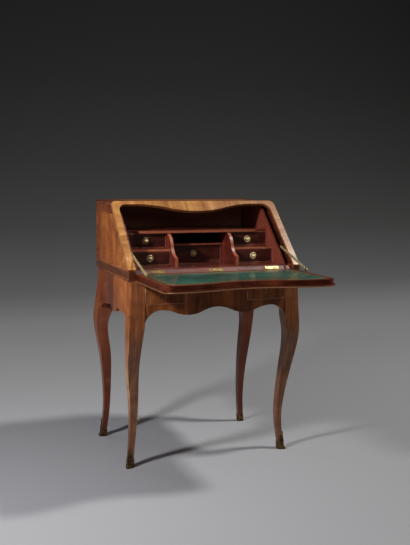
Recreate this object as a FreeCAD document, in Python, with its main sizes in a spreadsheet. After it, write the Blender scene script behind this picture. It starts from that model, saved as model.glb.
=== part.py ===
import FreeCAD, Part
import math
import operator
import os
from types import SimpleNamespace

import Sketcher

# Slant-front desk, fall open, in millimetres. X runs to the right of someone
# facing the desk, Y to its back, Z up. In this file a depth is measured from
# the front face of the case; the frame's origin lies under the middle of the
# box round the desk, which reaches from the fall's edge to the back.

SIZES = (
    # carcass
    ("case_width", 666),
    ("case_depth", 462),
    ("case_height", 969),
    ("top_depth", 224),
    ("top_thickness", 16),
    ("shoulder_radius", 16),
    ("shoulder_depth", 46),
    ("side_thickness", 16),
    ("back_thickness", 12),
    ("lower_case_height", 738),
    ("upper_case_height", 231),
    ("waist_depth", 40),
    ("bead_radius", 3),
    ("stile_width", 24),
    ("stile_thickness", 12),
    ("rail_width", 16),
    ("rail_drop", 36),
    ("rail_drop_margin", 74),
    ("rail_joint", 70),
    ("opening_corner", 30),
    # legs: each station has a drop from the one above, how far its outer arris
    # stands in from the side and back from the front, or swells beyond both, and
    # a width; the drops share out the height from the post down to the toe; the
    # rear legs swell more, then run straight at the back to their splayed feet
    ("lower_inset", 7),
    ("post_width", 50),
    ("spandrel_drop", 66),
    ("forward_share", 0.6),
    ("rear_gain", 2),
    ("frieze_swell", 1),
    ("brow_swell", 3),
    ("post_swell", 7),
    ("knee_drop", 47),
    ("knee_swell", 9),
    ("knee_width", 52),
    ("calf_drop", 118),
    ("calf_swell", 4),
    ("calf_setback", 25),
    ("calf_width", 41),
    ("shin_drop", 140),
    ("shin_inset", 13),
    ("shin_setback", 58),
    ("shin_width", 30),
    ("ankle_drop", 144),
    ("ankle_inset", 16),
    ("ankle_setback", 77),
    ("ankle_width", 22),
    ("toe_drop", 76),
    ("toe_height", 20),
    ("toe_inset", 10),
    ("toe_setback", 70),
    ("toe_width", 20),
    ("rear_splay", 14),
    ("sabot_height", 62),
    ("sabot_wall", 2),
    ("sole_thickness", 5),
    # frieze and aprons
    ("apron_thickness", 20),
    ("frieze_height", 87),
    ("arch_drop", 17),
    ("lobe_drop", 42),
    ("side_arch_drop", 20),
    ("lobe_offset", 108),
    ("side_arch_offset", 215),
    ("side_apron_drop", 40),
    ("side_spandrel_run", 62),
    ("side_scallop_rise", 8),
    ("side_scallop_width", 56),
    ("side_lobe_drop", 15),
    ("side_lobe_width", 70),
    ("frieze_rail_height", 9),
    ("centre_block_width", 236),
    ("bottom_thickness", 10),
    # writing bed and well
    ("bed_drop", 5),
    ("bed_thickness", 18),
    ("well_front", 60),
    ("well_back", 200),
    ("well_width", 208),
    ("well_wall", 8),
    ("panel_thickness", 10.3),
    ("panel_tuck", 12),
    # fall, hinges and stays
    ("fall_drop", 11),
    ("fall_core", 16),
    ("fall_lip", 8),
    ("fall_gap", 1.5),
    ("lip_overlap", 8),
    ("lip_side_overlap", 3),
    ("lip_start", 11),
    ("leather_depth", 1.2),
    ("leather_side_border", 16),
    ("leather_front_border", 18),
    ("leather_back_border", 22),
    ("hinge_offset", 225),
    ("hinge_length", 54),
    ("hinge_gap", 2.7),
    ("leaf_thickness", 2),
    ("leaf_height", 14),
    ("knuckle_radius", 2.4),
    ("hinge_pin_radius", 1.2),
    ("stay_foot", 115),
    ("stay_lift", 9),
    ("pin_along", 109),
    ("pin_beyond", 210),
    ("track_clearance", 1.5),
    ("stay_shut_drop", 37.3),
    ("stay_width", 8),
    ("stay_thickness", 4),
    ("stay_pin_radius", 2.8),
    ("stay_inset", 3),
    ("pivot_radius", 2.5),
    ("slot_clearance", 0.4),
    ("track_border", 2.8),
    ("track_thickness", 3),
    ("escutcheon_radius", 9),
    ("escutcheon_thickness", 1.2),
    ("keyhole_radius", 2.4),
    ("escutcheon_edge", 60),
    # gallery
    ("lining_gap", 10),
    ("lining_thickness", 8),
    ("lining_setback", 34),
    ("shelf_thickness", 9),
    ("shelf_front", 190),
    ("shelf_end_setback", 22),
    ("shelf_end_width", 90),
    ("divider_offset", 116),
    ("divider_thickness", 12),
    ("divider_top_front", 204),
    ("divider_top_rise", 50),
    ("divider_waist_front", 150),
    ("divider_waist_rise", 34),
    ("divider_foot_front", 102),
    ("divider_foot_rise", 30),
    ("scroll_radius", 62),
    ("lower_drawer_front", 150),
    ("upper_drawer_front", 205),
    ("centre_drawer_front", 250),
    ("lower_drawer_height", 54),
    ("drawer_rail_thickness", 5),
    ("upper_drawer_height", 55),
    ("compartment_height", 91),
    ("centre_drawer_height", 64),
    ("pigeonhole_thickness", 6),
    ("pigeonhole_height", 44),
    ("pigeonhole_front", 238),
    # drawers
    ("drawer_gap", 0.5),
    ("front_thickness", 10),
    ("lining_board", 6),
    ("frieze_front", 18),
    ("frieze_drawer_depth", 330),
    ("rosette_radius", 11),
    ("rosette_thickness", 2.5),
    ("neck_radius", 3),
    ("neck_length", 4),
    ("knob_radius", 6.5),
    ("knob_length", 10),
    # clearances
    ("seat_gap", 0.3),
    ("run_clearance", 0.05),
)

doc = FreeCAD.newDocument("slant_front_desk")
sheet = doc.addObject("Spreadsheet::Sheet", "Sizes")
for row, (name, value) in enumerate(SIZES, start=1):
    sheet.set(f"A{row}", name)
    sheet.set(f"B{row}", str(value))
    sheet.setAlias(f"B{row}", name)
doc.recompute()

OPERATIONS = {
    "+": operator.add,
    "-": operator.sub,
    "*": operator.mul,
    "/": operator.truediv,
}


class Size:
    """A length that carries its number and the expression that ties it to the sheet."""

    def __init__(self, value, text):
        self.value = value
        self.text = text

    def join(self, sign, other, swap=False):
        other = as_size(other)
        first, second = (other, self) if swap else (self, other)
        value = OPERATIONS[sign](first.value, second.value)
        return Size(value, f"({first.text} {sign} {second.text})")

    def __add__(self, other):
        return self.join("+", other)

    def __radd__(self, other):
        return self.join("+", other, swap=True)

    def __sub__(self, other):
        return self.join("-", other)

    def __rsub__(self, other):
        return self.join("-", other, swap=True)

    def __mul__(self, other):
        return self.join("*", other)

    def __rmul__(self, other):
        return self.join("*", other, swap=True)

    def __truediv__(self, other):
        return self.join("/", other)

    def __neg__(self):
        return Size(-self.value, f"(-1 * {self.text})")


def as_size(number):
    """A plain number as a size, so that both can be used alike."""
    return number if isinstance(number, Size) else Size(number, f"({number!r})")


def root(size):
    return Size(math.sqrt(size.value), f"sqrt({size.text})")


d = SimpleNamespace(**{name: Size(value, f"Sizes.{name}") for name, value in SIZES})
ZERO = as_size(0)
NODES = {}


def keep(label, piece):
    """Give a finished sub-part its label and list it as a node."""
    piece.Label = label
    NODES[label] = piece
    return piece


def bind(piece, prop, size):
    piece.setExpression(prop, as_size(size).text)


def place(piece, x=0, y=0, z=0):
    bind(piece, "Placement.Base.x", x)
    bind(piece, "Placement.Base.y", y)
    bind(piece, "Placement.Base.z", z)
    return piece


def box(name, x, y, z):
    """A board from three (low, high) pairs; the depths count from the front face."""
    piece = doc.addObject("Part::Box", name)
    bind(piece, "Length", x[1] - x[0])
    bind(piece, "Width", y[1] - y[0])
    bind(piece, "Height", z[1] - z[0])
    return place(piece, x[0], front + y[0], z[0])


def mirrored(pair, side):
    """A (low, high) pair on the right, or its mirror image on the left."""
    return pair if side > 0 else (-pair[1], -pair[0])


def arc_middle(start, end, radius, turn):
    """The middle of the short arc from start to end; turn is +1 where it turns left."""
    chord = end - start
    sagitta = radius - math.sqrt(max(radius**2 - chord.Length**2 / 4, 0))
    left = FreeCAD.Vector(-chord.y, chord.x, 0).normalize()
    return (start + end) / 2 - left * (turn * sagitta)


def outline_sketch(body, plane, outline):
    """A closed sketch through (x, y, arc) corners, each tied to the sheet.

    arc is None for a straight run to the next corner, or (radius, turn).
    """
    sketch = body.newObject("Sketcher::SketchObject", body.Name + "_outline")
    support = [o for o in body.Origin.OriginFeatures if o.Role == plane][0]
    sketch.AttachmentSupport = (support, [""])
    sketch.MapMode = "FlatFace"
    corners = [(as_size(x), as_size(y), arc) for x, y, arc in outline]
    points = [FreeCAD.Vector(x.value, y.value, 0) for x, y, arc in corners]
    ends = []
    for i, (x, y, arc) in enumerate(corners):
        start, end = points[i], points[(i + 1) % len(points)]
        if arc is None:
            edge = Part.LineSegment(start, end)
        else:
            radius, turn = arc
            middle = arc_middle(start, end, as_size(radius).value, turn)
            edge = Part.Arc(start, middle, end)
        sketch.addGeometry(edge)
        flipped = arc is not None and arc[1] < 0
        ends.append((2, 1) if flipped else (1, 2))
    for i, (x, y, arc) in enumerate(corners):
        after = (i + 1) % len(corners)
        sketch.addConstraint(Sketcher.Constraint("Coincident", i, ends[i][1], after, ends[after][0]))
    for i, (x, y, arc) in enumerate(corners):
        for kind, size in (("DistanceX", x), ("DistanceY", y)):
            tie = sketch.addConstraint(Sketcher.Constraint(kind, -1, 1, i, ends[i][0], size.value))
            sketch.setExpression(f"Constraints[{tie}]", size.text)
        if arc is not None:
            radius = as_size(arc[0])
            tie = sketch.addConstraint(Sketcher.Constraint("Radius", i, radius.value))
            sketch.setExpression(f"Constraints[{tie}]", radius.text)
    return sketch


def pad(name, plane, outline, length):
    """A body padded from an outline: along +Z from XY, +X from YZ, and -Y from XZ."""
    body = doc.addObject("PartDesign::Body", name)
    feature = body.newObject("PartDesign::Pad", name + "_pad")
    feature.Profile = outline_sketch(body, plane, outline)
    bind(feature, "Length", length)
    body.Tip = feature
    return body


def side_board(name, outline, x):
    """A board with its outline in (depth, height), between two places in x."""
    return place(pad(name, "YZ_Plane", outline, x[1] - x[0]), x[0], front, 0)


def front_board(name, outline, y):
    """A board with its outline in (x, height), between two depths."""
    return place(pad(name, "XZ_Plane", outline, y[1] - y[0]), 0, front + y[1], 0)


def rod(name, radius, x, y, z):
    """A round rod along X between two places."""
    piece = doc.addObject("Part::Cylinder", name)
    bind(piece, "Radius", radius)
    bind(piece, "Height", x[1] - x[0])
    piece.Placement = FreeCAD.Placement(FreeCAD.Vector(), FreeCAD.Rotation(FreeCAD.Vector(0, 1, 0), 90))
    return place(piece, x[0], front + y, z)


def cut(name, base, tool):
    piece = doc.addObject("Part::Cut", name)
    piece.Base = base
    piece.Tool = tool
    return piece


def fuse(name, pieces):
    piece = doc.addObject("Part::MultiFuse", name)
    piece.Shapes = pieces
    return piece


def common(name, pieces):
    piece = doc.addObject("Part::MultiCommon", name)
    piece.Shapes = pieces
    return piece


def group(name, pieces):
    """Separate solids that share one node."""
    piece = doc.addObject("Part::Compound", name)
    piece.Links = pieces
    return piece


def shaped(name, shape):
    """A piece whose curved shape is worked out here, in depths from the front face."""
    piece = doc.addObject("Part::Feature", name)
    piece.Shape = shape
    piece.Placement = FreeCAD.Placement(FreeCAD.Vector(0, front.value, 0), FreeCAD.Rotation())
    return piece


def arc_radius(run, rise):
    """Radius of an arc that starts level and rises by so much over a run."""
    return (run * run + rise * rise) / (2 * rise)


def wave_radius(length, drop):
    """Radius of two like arcs that lead level from one height to another."""
    return (length * length + drop * drop) / (4 * drop)


SIDES = (("left", -1), ("right", 1))
half = d.case_width / 2
lower_half = half - d.lower_inset

# Heights, each from the one it hangs from or stands on.
waist_height = d.case_height * d.lower_case_height / (d.lower_case_height + d.upper_case_height)
waist_low = waist_height - d.waist_depth
bed_height = waist_height - d.bed_drop
fall_height = bed_height - d.fall_drop
apron_top = waist_low - d.frieze_height
post_foot = apron_top - d.spandrel_drop
side_apron_low = apron_top - d.side_apron_drop
under_top = d.case_height - d.top_thickness


def portion(parts, count):
    """The share of the whole that the first count parts make up."""
    return sum(parts[:count], ZERO) / sum(parts, ZERO)


def shared(low, high, parts, count):
    """The height reached by the first count parts, when all of them share a rise."""
    return low + (high - low) * portion(parts, count)


gallery_parts = [
    d.lower_drawer_height,
    d.drawer_rail_thickness,
    d.upper_drawer_height,
    d.shelf_thickness,
    d.compartment_height,
]
drawer_rail_height = shared(bed_height, under_top, gallery_parts, 1)
shelf_height = shared(bed_height, under_top, gallery_parts, 3)
centre_parts = [d.centre_drawer_height, d.pigeonhole_thickness, d.pigeonhole_height]
pigeonhole_floor = shared(bed_height, shelf_height, centre_parts, 1)

# The slant: its foot is on the front face at the waist, its head at the top.
slant_run = d.case_depth - d.top_depth
slant_rise = d.case_height - waist_height
slant_length = root(slant_run * slant_run + slant_rise * slant_rise)
slant_cos = slant_run / slant_length
slant_sin = slant_rise / slant_length

# The fall's hinge axis lies on its inner face, so deep behind the slant that
# the closed fall's lip rests on the stiles.
fall_thickness = d.fall_core + d.fall_lip
hinge_drop = fall_height - waist_height
hinge_y = (hinge_drop * slant_cos + d.fall_core - d.seat_gap) / slant_sin
hinge_along = hinge_y * slant_cos + hinge_drop * slant_sin
opening_half = half - d.stile_width
opening_edge = slant_length - d.rail_width
core_reach = opening_edge - hinge_along - d.fall_gap
lip_reach = opening_edge - hinge_along + d.lip_overlap
rear_reach = d.case_depth + d.rear_splay + d.sabot_wall
front = -((rear_reach + hinge_y - lip_reach) / 2)


def behind_slant(setback, z):
    """Depth, at a height, of a line that runs parallel to the slant behind it."""
    return (setback + (z - waist_height) * slant_cos) / slant_sin


# Legs: a square post and, from the waist down, a cabriole leg lofted through
# its stations; beside the aprons the leg swells outwards only.
inner_post = lower_half - d.post_width
rear_post = d.case_depth - d.post_width


LEG_DROPS = [d.knee_drop, d.calf_drop, d.shin_drop, d.ankle_drop, d.toe_drop]


def leg_station(height, inset, setback, width, deep, side, rear, grow):
    """A section given by its outer arris and two widths, with grow added all round."""
    outer = lower_half - inset + grow
    inner = outer - width - 2 * grow
    near = setback - grow
    far = near + deep + 2 * grow
    if rear:
        near, far = d.case_depth - far, d.case_depth - near
    low, high = mirrored((inner, outer), side)
    corners = [(low, near), (high, near), (high, far), (low, far), (low, near)]
    return Part.makePolygon([FreeCAD.Vector(x.value, y.value, height.value) for x, y in corners])


def leg_loft(side, rear, grow):
    """The leg from the waist to the floor; a rear foot's splay grows with the fourth
    power of the way down, and only the front legs curve back below the knee."""
    gain = d.rear_gain if rear else 1
    curve = 0 if rear else 1
    stations = []
    for height, swell in (
        (waist_low, ZERO),
        ((waist_low + apron_top) / 2, d.frieze_swell),
        (apron_top, d.brow_swell),
        (post_foot, d.post_swell),
    ):
        aside = swell * gain
        forward = aside * d.forward_share
        stations.append((height, ZERO, -aside, -forward, d.post_width + aside, d.post_width + forward))
    knee = d.knee_swell * gain
    lower = (
        (-knee, -(knee * d.forward_share), d.knee_width, d.knee_width),
        (-d.calf_swell, d.calf_setback * curve, d.calf_width, d.calf_width),
        (d.shin_inset, d.shin_setback * curve, d.shin_width, d.shin_width),
        (d.ankle_inset, d.ankle_setback * curve, d.ankle_width, d.ankle_width),
        (d.toe_inset, d.toe_setback * curve, d.toe_width, d.toe_width),
    )
    for count, section in enumerate(lower, start=1):
        height = shared(post_foot, d.toe_height, LEG_DROPS, count)
        stations.append((height, portion(LEG_DROPS, count), *section))
    stations.append((ZERO, *stations[-1][1:]))
    wires = []
    for height, share, inset, setback, width, deep in stations:
        if rear:
            setback = setback - d.rear_splay * share * share * share * share
        wires.append(leg_station(height, inset, setback, width, deep, side, rear, grow))
    return Part.makeLoft(wires, True, False)


def slab(low, high):
    """A block over the whole plan between two heights."""
    reach = d.case_width.value + d.case_depth.value
    corner = FreeCAD.Vector(-reach, -reach, low.value)
    return Part.makeBox(2 * reach, 2 * reach, high.value - low.value, corner)


def corner_column(side, rear):
    """A block that takes in a post and all that lies outside it, beside the aprons."""
    width = 2 * d.post_width.value
    x = inner_post.value if side > 0 else -inner_post.value - width
    y = rear_post.value if rear else d.post_width.value - width
    corner = FreeCAD.Vector(x, y, post_foot.value)
    return Part.makeBox(width, width, (waist_low - post_foot).value, corner)


sabots = []
for end, rear in (("front", False), ("rear", True)):
    for hand, side in SIDES:
        name = f"leg_{end}_{hand}"
        whole = leg_loft(side, rear, ZERO)
        shod = whole.common(slab(d.sole_thickness, post_foot))
        swell = whole.common(corner_column(side, rear))
        depth = (rear_post, d.case_depth) if rear else (ZERO, d.post_width)
        post = box(name + "_post", mirrored((inner_post, lower_half), side), depth, (post_foot, waist_low))
        keep(name, fuse(name, [post, shaped(name + "_swell", swell), shaped(name + "_cabriole", shod)]))
        shoe = leg_loft(side, rear, d.sabot_wall).common(slab(ZERO, d.sabot_height)).cut(shod)
        sabots.append(shaped(f"sabot_{end}_{hand}", shoe))
keep("sabots", group("sabots", sabots))

# Lower carcass: aprons and side panels between the posts, frieze rail, centre
# block and the board that the frieze drawers run on.
apron_arch = apron_top - d.arch_drop
apron_lobe = apron_top - d.lobe_drop
apron_side_arch = apron_top - d.side_arch_drop
lobe_wave = wave_radius(d.lobe_offset, apron_arch - apron_lobe)
arch_wave = wave_radius(d.side_arch_offset - d.lobe_offset, apron_side_arch - apron_lobe)
spandrel_run = inner_post - d.side_arch_offset
spandrel_fall = apron_side_arch - post_foot
spandrel = arc_radius(spandrel_run, spandrel_fall)
lobe_mid = d.lobe_offset / 2
lobe_mid_z = (apron_arch + apron_lobe) / 2
arch_mid = (d.lobe_offset + d.side_arch_offset) / 2
arch_mid_z = (apron_side_arch + apron_lobe) / 2
apron_outline = [
    (-inner_post, apron_top, None),
    (-inner_post, post_foot, (spandrel, -1)),
    (-d.side_arch_offset, apron_side_arch, (arch_wave, -1)),
    (-arch_mid, arch_mid_z, (arch_wave, 1)),
    (-d.lobe_offset, apron_lobe, (lobe_wave, 1)),
    (-lobe_mid, lobe_mid_z, (lobe_wave, -1)),
    (lobe_mid, lobe_mid_z, (lobe_wave, 1)),
    (d.lobe_offset, apron_lobe, (arch_wave, 1)),
    (arch_mid, arch_mid_z, (arch_wave, -1)),
    (d.side_arch_offset, apron_side_arch, (spandrel, -1)),
    (inner_post, post_foot, None),
    (inner_post, apron_top, None),
]
keep("front_apron", front_board("front_apron", apron_outline, (ZERO, d.apron_thickness)))

frieze_top = fall_height - fall_thickness - d.seat_gap
frieze_rail_low = frieze_top - d.frieze_rail_height
frieze_depth = (ZERO, d.apron_thickness)
block_half = d.centre_block_width / 2
keep("frieze_rail", box("frieze_rail", (-inner_post, inner_post), frieze_depth, (frieze_rail_low, frieze_top)))
keep(
    "frieze_centre_block",
    box("frieze_centre_block", (-block_half, block_half), frieze_depth, (apron_top, frieze_rail_low)),
)
back_inner = d.case_depth - d.back_thickness
back_apron_front = d.case_depth - d.apron_thickness
keep(
    "back_apron",
    box(
        "back_apron",
        (-inner_post, inner_post),
        (back_apron_front, d.case_depth),
        (side_apron_low, waist_low),
    ),
)
keep(
    "bottom_board",
    box(
        "bottom_board",
        (-inner_post, inner_post),
        (d.apron_thickness, back_apron_front),
        (apron_top - d.bottom_thickness, apron_top),
    ),
)

side_inner = half - d.side_thickness
side_middle = d.case_depth / 2
side_lobe_half = d.side_lobe_width / 2
scallop_reach = side_lobe_half + d.side_scallop_width
scallop = arc_radius(d.side_scallop_width / 2, d.side_scallop_rise)
side_lobe = arc_radius(side_lobe_half, d.side_lobe_drop)
side_spandrel = arc_radius(d.side_spandrel_run, side_apron_low - post_foot)
side_outline = [
    (d.post_width, waist_low, None),
    (d.post_width, post_foot, (side_spandrel, -1)),
    (d.post_width + d.side_spandrel_run, side_apron_low, None),
    (side_middle - scallop_reach, side_apron_low, (scallop, -1)),
    (side_middle - side_lobe_half, side_apron_low, (side_lobe, 1)),
    (side_middle + side_lobe_half, side_apron_low, (scallop, -1)),
    (side_middle + scallop_reach, side_apron_low, None),
    (rear_post - d.side_spandrel_run, side_apron_low, (side_spandrel, -1)),
    (rear_post, post_foot, None),
    (rear_post, waist_low, None),
]
for hand, side in SIDES:
    name = f"lower_side_{hand}"
    across = mirrored((lower_half - d.side_thickness, lower_half), side)
    keep(name, side_board(name, side_outline, across))

# Waist: a rail on each side with a bead along its top and bottom arris.
for hand, side in SIDES:
    name = f"waist_rail_{hand}"
    pieces = [box(name + "_rail", mirrored((opening_half, half), side), (ZERO, d.case_depth), (waist_low, waist_height))]
    for level, z in (("top", waist_height - d.bead_radius), ("bottom", waist_low + d.bead_radius)):
        bead = doc.addObject("Part::Cylinder", f"{name}_{level}_bead")
        bind(bead, "Radius", d.bead_radius)
        bind(bead, "Height", d.case_depth)
        bead.Placement = FreeCAD.Placement(FreeCAD.Vector(), FreeCAD.Rotation(FreeCAD.Vector(1, 0, 0), -90))
        pieces.append(place(bead, half * side, front, z))
    keep(name, fuse(name, pieces))

# Upper case: sides, slanting stiles and top rail, shouldered top and back.
shoulder_low = d.case_height - d.shoulder_depth
upper_outline = [
    (behind_slant(d.stile_thickness, waist_height), waist_height, None),
    (d.case_depth, waist_height, None),
    (d.case_depth, shoulder_low, None),
    (behind_slant(d.stile_thickness, shoulder_low), shoulder_low, None),
]
joint_along = slant_length - d.rail_joint
joint_y = joint_along * slant_cos
joint_z = waist_height + joint_along * slant_sin
stile_outline = [
    (ZERO, waist_height, None),
    (behind_slant(d.stile_thickness, waist_height), waist_height, None),
    (joint_y + d.stile_thickness * slant_sin, joint_z - d.stile_thickness * slant_cos, None),
    (joint_y, joint_z, None),
]
for hand, side in SIDES:
    name = f"upper_side_{hand}"
    keep(name, side_board(name, upper_outline, mirrored((side_inner, half), side)))
    name = f"slant_stile_{hand}"
    keep(name, side_board(name, stile_outline, mirrored((opening_half, half), side)))


def shoulder_outline(low):
    """The case's outline in (x, height) with rounded shoulders, down to a height."""
    spring = d.case_height - d.shoulder_radius
    flat = half - d.shoulder_radius
    return [
        (-half, low, None),
        (half, low, None),
        (half, spring, (d.shoulder_radius, 1)),
        (flat, d.case_height, None),
        (-flat, d.case_height, (d.shoulder_radius, 1)),
        (-half, spring, None),
    ]


def free_edge(half_width, edge, corner, turn):
    """The fall's free edge from right to left: rounded corners and a drop in the middle."""
    span = opening_half - d.rail_drop_margin
    wave = wave_radius(span, d.rail_drop)
    middle = edge - d.rail_drop / 2
    points = [
        (half_width, edge - corner, (corner, turn)),
        (half_width - corner, edge, None),
        (span, edge, (wave, turn)),
        (span / 2, middle, (wave, -turn)),
        (-(span / 2), middle, (wave, turn)),
        (-span, edge, None),
        (corner - half_width, edge, (corner, turn)),
        (-half_width, edge - corner, None),
    ]
    return [(x, y * turn, arc) for x, y, arc in points]


rail_outline = [
    (-half, joint_along, None),
    (-half, slant_length, None),
    (half, slant_length, None),
    (half, joint_along, None),
    (opening_half, joint_along, None),
    *free_edge(opening_half, opening_edge, d.opening_corner, 1),
    (-opening_half, joint_along, None),
]
rail_slab = pad("slant_rail_slab", "XY_Plane", rail_outline, d.stile_thickness)
rail_slab.Placement = FreeCAD.Placement(FreeCAD.Vector(), FreeCAD.Rotation(FreeCAD.Vector(1, 0, 0), 45))
place(
    rail_slab,
    0,
    front + d.stile_thickness * slant_sin,
    waist_height - d.stile_thickness * slant_cos,
)
rail_slab.setExpression("Placement.Rotation.Angle", f"atan({slant_rise.text} / {slant_run.text})")
shoulders = front_board("slant_rail_shoulders", shoulder_outline(waist_height), (ZERO, d.case_depth))
keep("slant_rail", common("slant_rail", [rail_slab, shoulders]))

top_profile = [
    (slant_run, d.case_height, None),
    (slant_run + d.stile_thickness * slant_sin, d.case_height - d.stile_thickness * slant_cos, None),
    (behind_slant(d.stile_thickness, shoulder_low), shoulder_low, None),
    (d.case_depth, shoulder_low, None),
    (d.case_depth, d.case_height, None),
]
top_solid = common(
    "top_board_solid",
    [
        front_board("top_board_shoulders", shoulder_outline(shoulder_low), (ZERO, d.case_depth)),
        side_board("top_board_profile", top_profile, (-half, half)),
    ],
)
top_hollow = box("top_board_hollow", (-side_inner, side_inner), (ZERO, d.case_depth), (waist_height, under_top))
keep("top_board", cut("top_board", top_solid, top_hollow))

back_outline = [
    (-opening_half, waist_low, None),
    (opening_half, waist_low, None),
    (opening_half, waist_height, None),
    (side_inner, waist_height, None),
    (side_inner, under_top, None),
    (-side_inner, under_top, None),
    (-side_inner, waist_height, None),
    (-opening_half, waist_height, None),
]
keep("back_panel", front_board("back_panel", back_outline, (back_inner, d.case_depth)))

# Writing bed: boards round the well, and the panel that slides back over it.
bed_front = hinge_y + d.hinge_gap
bed_low = bed_height - d.bed_thickness
bevel_low = fall_height - d.seat_gap
bevel_run = (bed_height - bevel_low) * slant_cos / slant_sin
well_half = d.well_width / 2
bed_front_outline = [
    (bed_front, waist_low, None),
    (d.well_front, waist_low, None),
    (d.well_front, bed_height, None),
    (bed_front + bevel_run, bed_height, None),
    (bed_front, bevel_low, None),
]
keep("bed_front", side_board("bed_front", bed_front_outline, (-opening_half, opening_half)))
bed_depth = (d.well_front, back_inner)
bed_sides = [
    box(f"bed_side_{hand}", mirrored((well_half, opening_half), side), bed_depth, (bed_low, bed_height))
    for hand, side in SIDES
]
keep("bed_sides", group("bed_sides", bed_sides))
panel_low = bed_height - d.panel_thickness - d.seat_gap
channel_top = panel_low - d.seat_gap
keep(
    "bed_channel",
    box("bed_channel", (-well_half, well_half), (d.well_back, back_inner), (bed_low, channel_top)),
)
panel_half = well_half - d.seat_gap
keep(
    "bed_panel",
    box(
        "bed_panel",
        (-panel_half, panel_half),
        (d.well_front + d.seat_gap, d.centre_drawer_front + d.panel_tuck),
        (panel_low, bed_height - d.seat_gap),
    ),
)
well_inner = well_half - d.well_wall
well_z = (apron_top, channel_top)
well_boards = [
    box(f"well_side_{hand}", mirrored((well_inner, well_half), side), (d.well_front, d.well_back), well_z)
    for hand, side in SIDES
]
well_across = (-well_inner, well_inner)
well_near = (d.well_front, d.well_front + d.well_wall)
well_far = (d.well_back - d.well_wall, d.well_back)
well_boards += [
    box("well_near_wall", well_across, well_near, well_z),
    box("well_far_wall", well_across, well_far, well_z),
    box("well_floor", well_across, (well_near[1], well_far[0]), (apron_top, apron_top + d.well_wall)),
]
keep("well_box", group("well_box", well_boards))

# Gallery: linings, shelf, scrolled dividers, drawer rails and pigeonhole shelf.
lining_outer = opening_half - d.lining_gap
lining_inner = lining_outer - d.lining_thickness
lining_outline = [
    (behind_slant(d.lining_setback, bed_height), bed_height, None),
    (back_inner, bed_height, None),
    (back_inner, under_top, None),
    (behind_slant(d.lining_setback, under_top), under_top, None),
]
divider_parts = [d.divider_foot_rise, d.divider_waist_rise, d.divider_top_rise]
divider_foot = shared(bed_height, shelf_height, divider_parts, 1)
divider_waist = shared(bed_height, shelf_height, divider_parts, 2)
divider_inner = d.divider_offset
divider_outer = d.divider_offset + d.divider_thickness
divider_outline = [
    (back_inner, bed_height, None),
    (back_inner, shelf_height, None),
    (d.divider_top_front, shelf_height, (d.scroll_radius, 1)),
    (d.divider_waist_front, divider_waist, (d.scroll_radius, -1)),
    (d.divider_foot_front, divider_foot, None),
    (d.divider_foot_front, bed_height, None),
]
rail_z = (drawer_rail_height, drawer_rail_height + d.drawer_rail_thickness)
drawer_rails = []
for hand, side in SIDES:
    name = f"lining_{hand}"
    keep(name, side_board(name, lining_outline, mirrored((lining_inner, lining_outer), side)))
    name = f"divider_{hand}"
    keep(name, side_board(name, divider_outline, mirrored((divider_inner, divider_outer), side)))
    across = mirrored((divider_outer, lining_inner), side)
    drawer_rails.append(box(f"drawer_rail_{hand}", across, (d.lower_drawer_front, back_inner), rail_z))
keep("drawer_rails", group("drawer_rails", drawer_rails))

shelf_end = d.shelf_front + d.shelf_end_setback
shelf_wave = wave_radius(d.shelf_end_width, d.shelf_end_setback)
shelf_flat = lining_inner - d.shelf_end_width
shelf_bend = lining_inner - d.shelf_end_width / 2
shelf_mid = d.shelf_front + d.shelf_end_setback / 2
shelf_outline = [
    (-lining_inner, back_inner, None),
    (-lining_inner, shelf_end, (shelf_wave, -1)),
    (-shelf_bend, shelf_mid, (shelf_wave, 1)),
    (-shelf_flat, d.shelf_front, None),
    (shelf_flat, d.shelf_front, (shelf_wave, 1)),
    (shelf_bend, shelf_mid, (shelf_wave, -1)),
    (lining_inner, shelf_end, None),
    (lining_inner, back_inner, None),
]
keep("gallery_shelf", place(pad("gallery_shelf", "XY_Plane", shelf_outline, d.shelf_thickness), 0, front, shelf_height))
keep(
    "pigeonhole_shelf",
    box(
        "pigeonhole_shelf",
        (-divider_inner, divider_inner),
        (d.pigeonhole_front, back_inner),
        (pigeonhole_floor, pigeonhole_floor + d.pigeonhole_thickness),
    ),
)


def drawer_boards(name, x, y, z):
    """Two sides, a back and a bottom, as separate boards."""
    wall = d.lining_board
    floor = (z[0], z[0] + wall)
    inside = (x[0] + wall, x[1] - wall)
    return [
        box(name + "_side_a", (x[0], inside[0]), y, z),
        box(name + "_side_b", (inside[1], x[1]), y, z),
        box(name + "_end", inside, (y[1] - wall, y[1]), z),
        box(name + "_floor", inside, (y[0], y[1] - wall), floor),
    ]


def knob(name, x, y, z):
    """A turned brass knob on a rosette, its axis along the drawer's travel."""
    seat = d.rosette_thickness
    stem = seat + d.neck_length
    outline = [
        (ZERO, ZERO, None),
        (ZERO, d.rosette_radius, None),
        (-(seat / 2), d.rosette_radius, None),
        (-seat, d.neck_radius, None),
        (-stem, d.neck_radius, None),
        (-(stem + d.knob_length / 2), d.knob_radius, None),
        (-(stem + d.knob_length), d.neck_radius, None),
        (-(stem + d.knob_length), ZERO, None),
    ]
    body = doc.addObject("PartDesign::Body", name)
    sketch = outline_sketch(body, "YZ_Plane", outline)
    turned = body.newObject("PartDesign::Revolution", name + "_turned")
    turned.Profile = sketch
    turned.ReferenceAxis = (sketch, ["H_Axis"])
    turned.Angle = 360
    body.Tip = turned
    return keep(name, place(body, x, front + y, z))


def gallery_drawer(name, x, y_front, z):
    gap = d.drawer_gap
    x = (x[0] + gap, x[1] - gap)
    z = (z[0] + gap, z[1] - gap)
    y = (y_front + d.front_thickness, back_inner - gap)
    keep(f"{name}_front", box(f"{name}_front", x, (y_front, y[0]), z))
    keep(f"{name}_box", group(f"{name}_box", drawer_boards(name, x, y, z)))
    knob(f"{name}_knob", (x[0] + x[1]) / 2, y_front, (z[0] + z[1]) / 2)


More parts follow.
